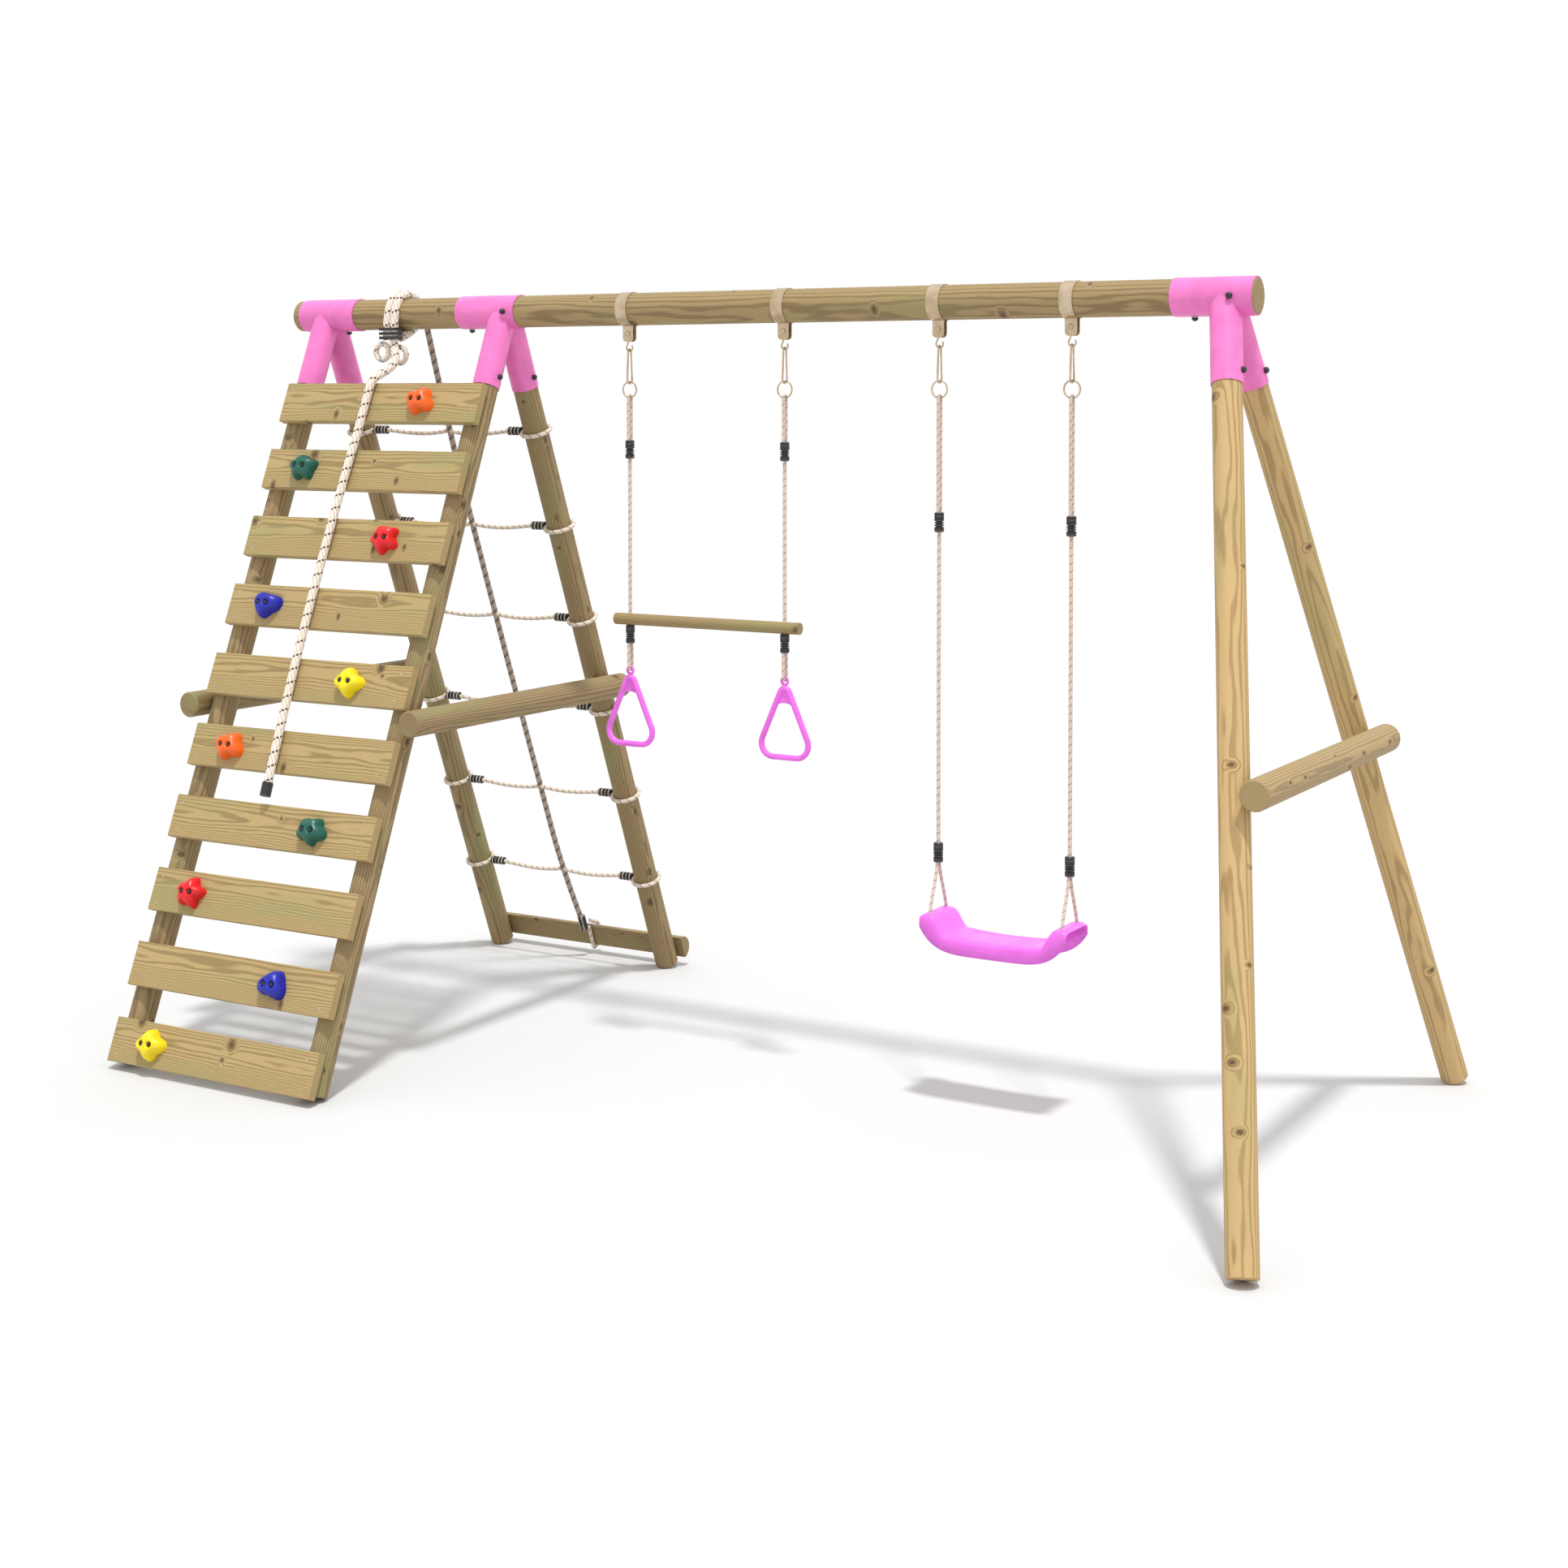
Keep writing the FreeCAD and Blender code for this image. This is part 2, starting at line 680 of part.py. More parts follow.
# ---------------------------------------------------------------------------
# Rope clips and net
# ---------------------------------------------------------------------------

def make_clip_master():
    """Ribbed moulded clip that pinches two strands, axis along +Z from z = 0."""
    body = doc.addObject("PartDesign::Body", "rope_clip_master")
    sketch = sketch_on(body, "clip_profile", "XZ_Plane")
    outer = dim("clip_diameter") / 2
    core = outer - 4
    length = dim("clip_length")
    rib = length / 16
    profile = [(0, 0), (outer - 2, 0), (outer, 2)]
    height = 4 * rib
    for _ in range(3):
        profile += [(outer, height), (core, height), (core, height + rib), (outer, height + rib)]
        height += 2 * rib
    profile += [(outer, length - 2), (outer - 2, length), (0, length)]
    corners = [V(x, z, 0) for x, z in profile]
    for start, end in zip(corners, corners[1:] + corners[:1]):
        sketch.addGeometry(Part.LineSegment(start, end), False)
    turned = body.newObject("PartDesign::Revolution", "clip_turned")
    turned.Profile = sketch
    turned.ReferenceAxis = (sketch, ["V_Axis"])
    turned.Angle = 360
    doc.recompute()
    return body.Shape


def net_rung_distances():
    """Distances of the rungs down the slope."""
    return [dim("net_first_rung") + index * dim("net_rung_pitch")
            for index in range(int(dim("net_rung_count")))]


def rung_points(distance):
    """Route of one rung between its two clips, sagging on both sides of the middle."""
    reach = POLE_RADIUS + dim("net_rope_diameter") + 1.5 + dim("clip_length")
    left = dim("left_frame_x") + reach
    right = dim("middle_frame_x") - reach
    middle = dim("net_centre_x")
    sag = dim("net_rung_sag")
    shares = ((0, 0), (0.3, 0.8), (0.62, 1), (0.88, 0.55))
    points = [on_net(left + share * (middle - left), distance + sag * drop, 0)
              for share, drop in shares]
    points.append(on_net(middle, distance, 0))
    points += [on_net(right + share * (middle - right), distance + sag * drop, 0)
               for share, drop in reversed(shares)]
    return points


def make_net(clip):
    """Centre rope, sagging rungs, loops round the legs and the clips that close them."""
    diameter = dim("net_rope_diameter")
    loop_radius = POLE_RADIUS + diameter / 2 + dim("contact_gap")
    rungs = []
    loops = []
    clip_places = []
    for distance in net_rung_distances():
        rungs.append(tube(rung_points(distance), diameter))
        for frame_x, inward in ((dim("left_frame_x"), 1), (dim("middle_frame_x"), -1)):
            centre = on_net(frame_x, distance, 0)
            loops.append(Part.makeTorus(loop_radius, diameter / 2, centre, leg_direction(1)))
            edge = on_net(frame_x + inward * (POLE_RADIUS + diameter + 1), distance, 0)
            clip_places.append(place(edge, X_AXIS * inward))
    feature("net_rung_ropes", Part.makeCompound(rungs))
    feature("net_leg_loops", Part.makeCompound(loops))

    middle = dim("net_centre_x")
    last = dim("rail_slope_distance") - 106
    centre_route = [
        on_net(middle + 26, 67, 0), on_net(middle + 4, 430, 2), on_net(middle, 1110, 0),
        on_net(middle - 1, 1790, 2), on_net(middle + 2, 2130, 0), on_net(middle + 24, last, 4),
    ]
    feature("net_centre_rope", tube(centre_route, dim("net_centre_diameter")))

    rail_x = middle + 26
    rail = dim("rail_slope_distance")
    gap = diameter / 2 + 1
    front = POLE_RADIUS - gap
    back = dim("pole_diameter") + gap
    corner = rail + POLE_RADIUS + gap + 1
    tie_route = [on_net(rail_x, rail - 42, front), on_net(rail_x, corner, front - 0.5),
                 on_net(rail_x, corner, front + 29), on_net(rail_x, rail + 20, back + 0.5),
                 on_net(rail_x, rail - 25, back), on_net(rail_x, rail - 60, front + 14)]
    feature("net_rail_tie", tube(tie_route, diameter, corner_radius=12))
    tail_clip = place(on_net(rail_x, last + 1, 6), NET_PLANE.Rotation.multVec(Y_AXIS))
    repeat("net_clips", clip, clip_places + [tail_clip])


# ---------------------------------------------------------------------------
# Hangers: strap, bolt, hook, carabiner, gate and ring
# ---------------------------------------------------------------------------

BOLT_HEIGHT = dim("beam_height") - dim("hanger_bolt_drop")
HOOK_BOTTOM = BOLT_HEIGHT - dim("hook_drop") - dim("hook_radius")
CARABINER_TOP = HOOK_BOTTOM + (dim("hook_wire") + dim("carabiner_wire")) / 2 + dim("contact_gap")
TOP_CENTRE = CARABINER_TOP - dim("carabiner_top_radius")
BOTTOM_CENTRE = TOP_CENTRE - dim("carabiner_centre_distance")
CARABINER_BOTTOM = BOTTOM_CENTRE - dim("carabiner_bottom_radius")
RING_TOP = (CARABINER_BOTTOM + (dim("carabiner_wire") + dim("link_ring_wire")) / 2
            + dim("contact_gap"))
RING_CENTRE = RING_TOP - dim("link_ring_radius")
RING_BOTTOM = RING_CENTRE - dim("link_ring_radius")


def rope_xs(set_name):
    """The two rope lines of the trapeze or the swing."""
    half = dim(f"{set_name}_rope_spacing") / 2
    return (dim(f"{set_name}_x") - half, dim(f"{set_name}_x") + half)


def at(x):
    """Placement that moves a master drawn at x = 0 along the beam."""
    return FreeCAD.Placement(V(x, 0, 0), FreeCAD.Rotation())


HANGER_XS = rope_xs("trapeze") + rope_xs("swing")


def strap_shape():
    """Strap round the beam with two tabs below, drawn at x = 0."""
    gap = dim("contact_gap")
    inner = dim("beam_diameter") / 2 + gap
    wall = dim("strap_thickness")
    width = dim("strap_width")
    axis_height = dim("beam_height")
    band = Part.makeCylinder(inner + wall, width, V(-width / 2, 0, axis_height), X_AXIS)
    tab_depth = dim("tab_gap") + 2 * wall
    tab_width = dim("tab_width")
    tabs = Part.makeBox(tab_width, tab_depth, dim("tab_reach"),
                        V(-tab_width / 2, -tab_depth / 2, axis_height - dim("tab_reach")))
    corner_edges = [edge for edge in tabs.Edges
                    if edge.BoundBox.YLength > 1 and edge.BoundBox.ZMax < axis_height - 1]
    tabs = tabs.makeFillet(tab_width / 3, corner_edges)
    beam = Part.makeCylinder(inner, width + 2, V(-width / 2 - 1, 0, axis_height), X_AXIS)
    slot = Part.makeBox(width + 2, dim("tab_gap"), dim("tab_reach") + 2,
                        V(-width / 2 - 1, -dim("tab_gap") / 2, axis_height - dim("tab_reach") - 2))
    hole = Part.makeCylinder(dim("hanger_bolt_diameter") / 2 + gap, tab_depth + 2,
                             V(0, -tab_depth / 2 - 1, BOLT_HEIGHT), Y_AXIS)
    return band.fuse(tabs).cut(beam).cut(slot).cut(hole)


def hanger_bolt_shape():
    """Bolt across the tabs with a domed head on each side."""
    half = dim("tab_gap") / 2 + dim("strap_thickness") + dim("contact_gap")
    shank = Part.makeCylinder(dim("hanger_bolt_diameter") / 2, 2 * half,
                              V(0, -half, BOLT_HEIGHT), Y_AXIS)
    for side in (-1, 1):
        head = dome_shape(15, 5)
        head.Placement = place(V(0, side * half, BOLT_HEIGHT), V(0, side, 0))
        shank = shank.fuse(head)
    return shank


def hook_shape():
    """Open wire hook in the plane of the beam: a small eye on the bolt, a larger bend below."""
    wire = dim("hook_wire")
    eye = (dim("hanger_bolt_diameter") + wire) / 2 + dim("contact_gap")
    bend = dim("hook_radius")
    drop = dim("hook_drop")
    cosine = (eye + bend) / drop
    sine = math.sqrt(1 - cosine ** 2)
    top = V(0, 0, BOLT_HEIGHT)
    low = V(0, 0, BOLT_HEIGHT - drop)

    def polar(centre, radius, degrees):
        angle = math.radians(degrees)
        return centre + V(radius * math.cos(angle), 0, radius * math.sin(angle))

    leave = top + V(eye * sine, 0, -eye * cosine)
    arrive = low + V(-bend * sine, 0, bend * cosine)
    start = polar(top, eye, 215)
    path = Part.Wire([
        Part.Arc(start, polar(top, eye, 95), leave).toShape(),
        Part.LineSegment(leave, arrive).toShape(),
        Part.Arc(arrive, polar(low, bend, 270), polar(low, bend, 35)).toShape(),
    ])
    radial = (start - top).normalize()
    section = Part.Wire([Part.Circle(start, radial.cross(Y_AXIS), wire / 2).toShape()])
    return path.makePipeShell([section], True, False)


def carabiner_tangent():
    """Upper and lower tangent points of the carabiner's straight side, and its direction."""
    top_radius = dim("carabiner_top_radius")
    bottom_radius = dim("carabiner_bottom_radius")
    sine = (bottom_radius - top_radius) / dim("carabiner_centre_distance")
    cosine = math.sqrt(1 - sine ** 2)
    upper = V(0, top_radius * cosine, TOP_CENTRE + top_radius * sine)
    lower = V(0, bottom_radius * cosine, BOTTOM_CENTRE + bottom_radius * sine)
    return upper, lower, (upper - lower).normalize()


def carabiner_shape():
    """Pear-shaped wire body, open on its back side where the gate closes it."""
    upper, lower, direction = carabiner_tangent()
    mirrored = (V(0, -upper.y, upper.z), V(0, -lower.y, lower.z))
    gap = dim("contact_gap")
    gate_wire = dim("gate_wire")
    heel = along(lower, direction, dim("gate_pivot_distance") - gate_wire / 2 - gap)
    nose = along(lower, direction, dim("gate_pivot_distance") + dim("gate_length") + gap)
    path = Part.Wire([
        Part.LineSegment(nose, upper).toShape(),
        Part.Arc(upper, V(0, 0, CARABINER_TOP), mirrored[0]).toShape(),
        Part.LineSegment(*mirrored).toShape(),
        Part.Arc(mirrored[1], V(0, 0, CARABINER_BOTTOM), lower).toShape(),
        Part.LineSegment(lower, heel).toShape(),
    ])
    section = Part.Wire([Part.Circle(nose, direction, dim("carabiner_wire") / 2).toShape()])
    return path.makePipeShell([section], True, False)


def gate_shape():
    """Straight gate with a round heel, turning about X at the heel's centre."""
    _, lower, direction = carabiner_tangent()
    pivot = along(lower, direction, dim("gate_pivot_distance"))
    radius = dim("gate_wire") / 2
    rod = Part.makeCylinder(radius, dim("gate_length"), pivot, direction)
    return rod.fuse(Part.makeSphere(radius, pivot))


def make_hangers():
    """Straps, bolts and hooks on the beam, one set for each rope."""
    places = [at(x) for x in HANGER_XS]
    repeat("hanger_straps", strap_shape(), places)
    repeat("hanger_bolts", hanger_bolt_shape(), places)
    repeat("hanger_hooks", hook_shape(), places)


def make_links(set_name):
    """Carabiners, gates and rings of the trapeze or the swing."""
    xs = rope_xs(set_name)
    places = [at(x) for x in xs]
    repeat(f"{set_name}_carabiners", carabiner_shape(), places)
    ring = Part.makeTorus(dim("link_ring_radius"), dim("link_ring_wire") / 2,
                          V(0, 0, RING_CENTRE), Y_AXIS)
    repeat(f"{set_name}_rings", ring, places)
    for side, placement in zip(("left", "right"), places):
        repeat(f"{set_name}_gate_{side}", gate_shape(), [placement])


def doubled_rope(wire, bend_height, end_height, end_half_spread):
    """Rope doubled over a wire at x = 0, both strands running to one height."""
    diameter = dim("double_rope_diameter")
    radius = (wire + diameter) / 2 + dim("contact_gap")
    outward = 1 if bend_height > end_height else -1
    turn = bend_height + outward * radius
    points = [V(0, -end_half_spread, end_height), V(0, -radius, turn),
              V(0, radius, turn), V(0, end_half_spread, end_height)]
    return tube(points, diameter, corner_radius=radius - 0.3)


def single_rope(top, bottom):
    """Straight rope at x = 0 between two heights."""
    return Part.makeCylinder(dim("single_rope_diameter") / 2, top - bottom, V(0, 0, bottom))


# ---------------------------------------------------------------------------
# Trapeze with ring handles
# ---------------------------------------------------------------------------

UPPER_STRAND_SPREAD = ((dim("link_ring_wire") + dim("double_rope_diameter")) / 2
                       + dim("contact_gap"))


def make_trapeze(clip):
    """Ropes, clips, bar and ring handles of the trapeze."""
    places = [at(x) for x in rope_xs("trapeze")]
    bar = dim("trapeze_bar_height")
    clip_length = dim("clip_length")
    upper_top = dim("trapeze_clip_top")
    lower_top = bar - dim("trapeze_bar_diameter") / 2 - dim("contact_gap")
    lower_bottom = lower_top - clip_length
    eye_wire_height = dim("handle_eye_height") + dim("handle_eye_radius")
    ropes = Part.makeCompound([
        doubled_rope(dim("link_ring_wire"), RING_BOTTOM, upper_top, UPPER_STRAND_SPREAD),
        single_rope(upper_top - clip_length, lower_top),
        doubled_rope(dim("handle_eye_wire"), eye_wire_height, lower_bottom, 8.3),
    ])
    repeat("trapeze_ropes", ropes, places)
    clips = [placement.multiply(place(V(0, 0, height)))
             for placement in places for height in (upper_top - clip_length, lower_bottom)]
    repeat("trapeze_clips", clip, clips)

    body = doc.addObject("PartDesign::Body", "trapeze_bar")
    section = circle_sketch(body, "bar_section", "Sheet.trapeze_bar_diameter / 2")
    padded(body, section, "Sheet.trapeze_bar_length")
    holes = sketch_on(body, "bar_holes", "XZ_Plane")
    for number, side in enumerate((-1, 1)):
        distance = dim("trapeze_bar_length") / 2 + side * dim("trapeze_rope_spacing") / 2
        holes.addGeometry(Part.Circle(V(0, distance, 0), Z_AXIS, 6), False)
        size = holes.addConstraint(Sketcher.Constraint("Radius", number, 6))
        holes.setExpression(f"Constraints[{size}]",
                            "Sheet.single_rope_diameter / 2 + Sheet.contact_gap")
    drill = body.newObject("PartDesign::Pocket", "bar_drilling")
    drill.Profile = holes
    drill.Type = "ThroughAll"
    drill.Midplane = True
    start = V(dim("trapeze_x") - dim("trapeze_bar_length") / 2, 0, bar)
    # local Z runs along the bar and local Y, the drilling direction, points up
    upright = FreeCAD.Rotation(V(0, 1, 0), V(0, 0, 1), V(1, 0, 0), "ZXY")
    finish(body, "trapeze_bar", FreeCAD.Placement(start, upright))

    for side, placement in zip(("left", "right"), places):
        repeat(f"ring_handle_{side}", handle_shape(), [placement])


def handle_shape():
    """Triangular ring handle with an eye on top and an arched web under the apex."""
    tube_diameter = dim("handle_tube_diameter")
    half = dim("handle_half_base")
    top = dim("handle_apex_height")
    base = dim("handle_base_height")
    rise = top - base
    side_length = math.hypot(half, rise)
    apex_radius = dim("handle_apex_radius")
    corner_radius = dim("handle_corner_radius")
    half_apex = math.atan2(half, rise)
    half_corner = (math.pi / 2 - half_apex) / 2
    apex_cut = apex_radius / math.tan(half_apex)
    corner_cut = corner_radius / math.tan(half_corner)
    slope = V(half / side_length, 0, -rise / side_length)
    shoulder = V(0, 0, top) + slope * apex_cut
    hip = V(0, 0, top) + slope * (side_length - corner_cut)
    foot = V(half - corner_cut, 0, base)
    corner_centre = V(foot.x, 0, base + corner_radius)
    bisector = V(math.cos(half_corner), 0, -math.sin(half_corner))
    bulge = corner_centre + bisector * corner_radius
    crown = V(0, 0, top - apex_radius / math.sin(half_apex) + apex_radius)

    def flip(point):
        return V(-point.x, 0, point.z)

    ring_path = Part.Wire([
        Part.Arc(flip(shoulder), crown, shoulder).toShape(),
        Part.LineSegment(shoulder, hip).toShape(),
        Part.Arc(hip, bulge, foot).toShape(),
        Part.LineSegment(foot, flip(foot)).toShape(),
        Part.Arc(flip(foot), flip(bulge), flip(hip)).toShape(),
        Part.LineSegment(flip(hip), flip(shoulder)).toShape(),
    ])
    start_direction = V(-slope.x, 0, -slope.z)
    section = Part.Wire([Part.Circle(flip(shoulder), V(-start_direction.x, 0, start_direction.z),
                                     tube_diameter / 2).toShape()])
    ring = ring_path.makePipeShell([section], True, False)
    web_drop = 80
    web_corner = V(web_drop * half / rise, 0, top - web_drop)
    web_edges = [
        Part.LineSegment(V(0, 0, top - 12), web_corner).toShape(),
        Part.Arc(web_corner, V(0, 0, top - web_drop + 12), flip(web_corner)).toShape(),
        Part.LineSegment(flip(web_corner), V(0, 0, top - 12)).toShape(),
    ]
    thickness = dim("handle_web_thickness")
    web = Part.Face(Part.Wire(web_edges)).extrude(V(0, thickness, 0))
    web.translate(V(0, -thickness / 2, 0))
    eye = Part.makeTorus(dim("handle_eye_radius"), dim("handle_eye_wire") / 2,
                         V(0, 0, dim("handle_eye_height")), Y_AXIS)
    eye_foot = dim("handle_eye_height") - dim("handle_eye_radius")
    neck = Part.makeCylinder(6, eye_foot - crown.z, crown)
    return ring.fuse([web, eye, neck])


# ---------------------------------------------------------------------------
# Swing
# ---------------------------------------------------------------------------

def seat_outline(drop):
    """Upper line of the seat's side view, lowered by a distance: raised ends, sagging middle."""
    half = dim("seat_length") / 2
    base = dim("seat_height") - drop
    left = [V(-half, 0, base + 98), V(-half + 12, 0, base + 109), V(-half + 36, 0, base + 110),
            V(-half + 60, 0, base + 82), V(-half + 84, 0, base + 60), V(-half / 2, 0, base + 49)]
    middle = [V(0, 0, base + 43)]
    right = [V(-point.x, 0, point.z) for point in reversed(left)]
    curve = Part.BSplineCurve()
    curve.interpolate(left + middle + right)
    return curve


def seat_shape():
    """Moulded seat with a skirt all along both sides and a hollow underside, at x = 0."""
    half = dim("seat_length") / 2
    base = dim("seat_height")
    wall = dim("seat_wall")
    depth = dim("seat_depth")
    upper = seat_outline(0)
    lower = Part.BSplineCurve()
    low_left = [V(-half, 0, base + 78), V(-half + 12, 0, base + 52), V(-half + 42, 0, base + 24),
                V(-half + 96, 0, base + 8)]
    low_right = [V(-point.x, 0, point.z) for point in reversed(low_left)]
    lower.interpolate(low_left + [V(0, 0, base)] + low_right)
    outline = Part.Wire([
        upper.toShape(),
        Part.LineSegment(V(half, 0, base + 98), V(half, 0, base + 78)).toShape(),
        lower.toShape(),
        Part.LineSegment(V(-half, 0, base + 78), V(-half, 0, base + 98)).toShape(),
    ])
    solid = Part.Face(outline).extrude(V(0, depth, 0))
    solid.translate(V(0, -depth / 2, 0))
    under = seat_outline(wall)
    floor = base - 20
    ceiling = base + 98 - wall
    hollow = Part.Wire([
        under.toShape(),
        Part.LineSegment(V(half, 0, ceiling), V(half, 0, floor)).toShape(),
        Part.LineSegment(V(half, 0, floor), V(-half, 0, floor)).toShape(),
        Part.LineSegment(V(-half, 0, floor), V(-half, 0, ceiling)).toShape(),
    ])
    inside = depth - 2 * wall
    cavity = Part.Face(hollow).extrude(V(0, inside, 0))
    cavity.translate(V(0, -inside / 2, 0))
    seat = solid.cut(cavity)
    for side in (-1, 1):
        for front in (-1, 1):
            point = V(side * dim("swing_rope_spacing") / 2,
                      front * dim("seat_strand_spread") / 2, base + 60)
            bore = dim("double_rope_diameter") / 2 + 2.5
            seat = seat.cut(Part.makeCylinder(bore, 80, point))
    return seat


def make_swing(clip):
    """Ropes, clips and seat of the swing."""
    places = [at(x) for x in rope_xs("swing")]
    clip_length = dim("clip_length")
    upper_top = dim("swing_upper_clip_top")
    lower_top = dim("swing_lower_clip_top")
    lower_bottom = lower_top - clip_length
    diameter = dim("double_rope_diameter")
    spread = dim("seat_strand_spread") / 2
    pieces = [
        doubled_rope(dim("link_ring_wire"), RING_BOTTOM, upper_top, UPPER_STRAND_SPREAD),
        single_rope(upper_top - clip_length, lower_top),
    ]
    for side in (-1, 1):
        route = [V(0, side * 6, lower_bottom), V(0, side * 7, lower_bottom - 22),
                 V(0, side * (spread - 1.5), dim("seat_height") + 120),
                 V(0, side * spread, dim("seat_height") + 96)]
        pieces.append(tube(route, diameter))
    repeat("swing_ropes", Part.makeCompound(pieces), places)
    clips = [placement.multiply(place(V(0, 0, height)))
             for placement in places for height in (upper_top - clip_length, lower_bottom)]
    repeat("swing_clips", clip, clips)
    repeat("swing_seat", seat_shape(), [at(dim("swing_x"))])


def check_and_export():
    """Stop on any failed object, then write one STEP file per node."""
    doc.recompute()
    for item in doc.Objects:
        if "Invalid" in item.State or "Error" in item.State:
            raise RuntimeError(f"{item.Label} failed: {item.State}")
    labels = [node.Label for node in nodes]
    if len(set(labels)) != len(labels) or len(labels) > 60:
        raise RuntimeError("labels must be unique and at most 60")
    total = FreeCAD.BoundBox()
    os.makedirs("parts", exist_ok=True)
    for node in nodes:
        shape = node.Shape
        if shape.isNull() or not shape.isValid() or not shape.Solids:
            raise RuntimeError(f"{node.Label} has no valid solid")
        total.add(shape.BoundBox)
        shape.exportStep(os.path.join("parts", f"{node.Label}.step"))
        print(node.Label, len(shape.Solids), "solids", round(shape.Volume / 1000, 1), "cm3")
    print("nodes", len(nodes))
    print("x", round(total.XMin, 1), round(total.XMax, 1), "y", round(total.YMin, 1),
          round(total.YMax, 1), "z", round(total.ZMin, 2), round(total.ZMax, 1))


make_beam()
make_brackets()
make_legs()
make_braces()
make_ground_rail()
make_bolt_caps()
make_boards()
make_board_screws()
make_holds()
make_climbing_rope()
clip_shape = make_clip_master()
make_net(clip_shape)
make_hangers()
for suspended in ("trapeze", "swing"):
    make_links(suspended)
make_trapeze(clip_shape)
make_swing(clip_shape)
check_and_export()
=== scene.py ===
"""Looks of a timber garden swing set with a climbing wall, a net, a trapeze and a swing.

The timber, brackets and fittings are shown as modelled, with their own finishes.
Ropes, hand holds and the moulded seat are built here as worked-out surfaces.
"""
import logging
import math
from dataclasses import dataclass, field
from enum import Enum
from typing import Dict, Iterable, List, Optional, Sequence, Tuple

import bpy
import numpy as np
from mathutils import Matrix, Vector


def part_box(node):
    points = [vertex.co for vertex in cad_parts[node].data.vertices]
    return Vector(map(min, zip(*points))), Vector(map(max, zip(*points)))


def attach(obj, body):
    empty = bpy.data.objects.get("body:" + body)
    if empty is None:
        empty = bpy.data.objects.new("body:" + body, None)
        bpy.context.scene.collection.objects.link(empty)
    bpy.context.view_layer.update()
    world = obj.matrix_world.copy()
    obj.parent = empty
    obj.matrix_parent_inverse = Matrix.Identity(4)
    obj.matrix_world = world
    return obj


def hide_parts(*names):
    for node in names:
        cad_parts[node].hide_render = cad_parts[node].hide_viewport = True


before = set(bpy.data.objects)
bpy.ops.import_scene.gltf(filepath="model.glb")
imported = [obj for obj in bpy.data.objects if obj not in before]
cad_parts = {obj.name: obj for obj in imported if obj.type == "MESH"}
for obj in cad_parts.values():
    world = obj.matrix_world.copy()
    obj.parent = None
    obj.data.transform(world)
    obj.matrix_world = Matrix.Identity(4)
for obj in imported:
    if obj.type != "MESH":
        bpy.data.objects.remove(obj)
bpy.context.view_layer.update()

logging.basicConfig(level=logging.INFO, format="%(message)s")
log = logging.getLogger("swing_set")

Socket = bpy.types.NodeSocket
Point = Tuple[float, float, float]
Colour = Tuple[float, float, float]

# Ground point below the middle of the beam, and the lines of the frame (metres).
SHIFT = np.array([-0.1696, 0.0090, 0.0])
BEAM_HEIGHT = 2.300
BEAM_RADIUS = 0.050
POLE_RADIUS = 0.040
APEX_HEIGHT = 2.317
LEG_SPREAD = 0.935
SLOPE = math.hypot(LEG_SPREAD, APEX_HEIGHT)
DOWN = np.array([0.0, LEG_SPREAD, -APEX_HEIGHT]) / SLOPE
OUT = np.array([0.0, APEX_HEIGHT, LEG_SPREAD]) / SLOPE
FRONT = np.array([1.0, -1.0, 1.0])
LEFT_FRAME_X = -1.550
MIDDLE_FRAME_X = -0.820
WALL_FACE = 0.0683
ROPE_FACE = WALL_FACE + 0.014
CLIP_LENGTH = 0.056
RING_BOTTOM = 2.0276


class Side(Enum):
    """Which sloping plane a point is measured in."""

    WALL = -1
    NET = 1


def sloping(side: Side, x: float, down: float, out: float) -> np.ndarray:
    """Point in one of the sloping planes.

    Args:
        side: the climbing wall's plane or the net's.
        x: distance along the beam from its middle, in metres.
        down: distance down the slope from the apex line.
        out: distance away from the inside of the frame.

    Returns:
        The point in the object's own frame.
    """
    point = np.array([x, 0.0, APEX_HEIGHT]) + down * DOWN + out * OUT
    point[1] *= side.value
    return point + SHIFT


def centred(x: float, y: float, z: float) -> np.ndarray:
    """Point given from below the middle of the beam."""
    return np.array([x, y, z]) + SHIFT


# Meshes

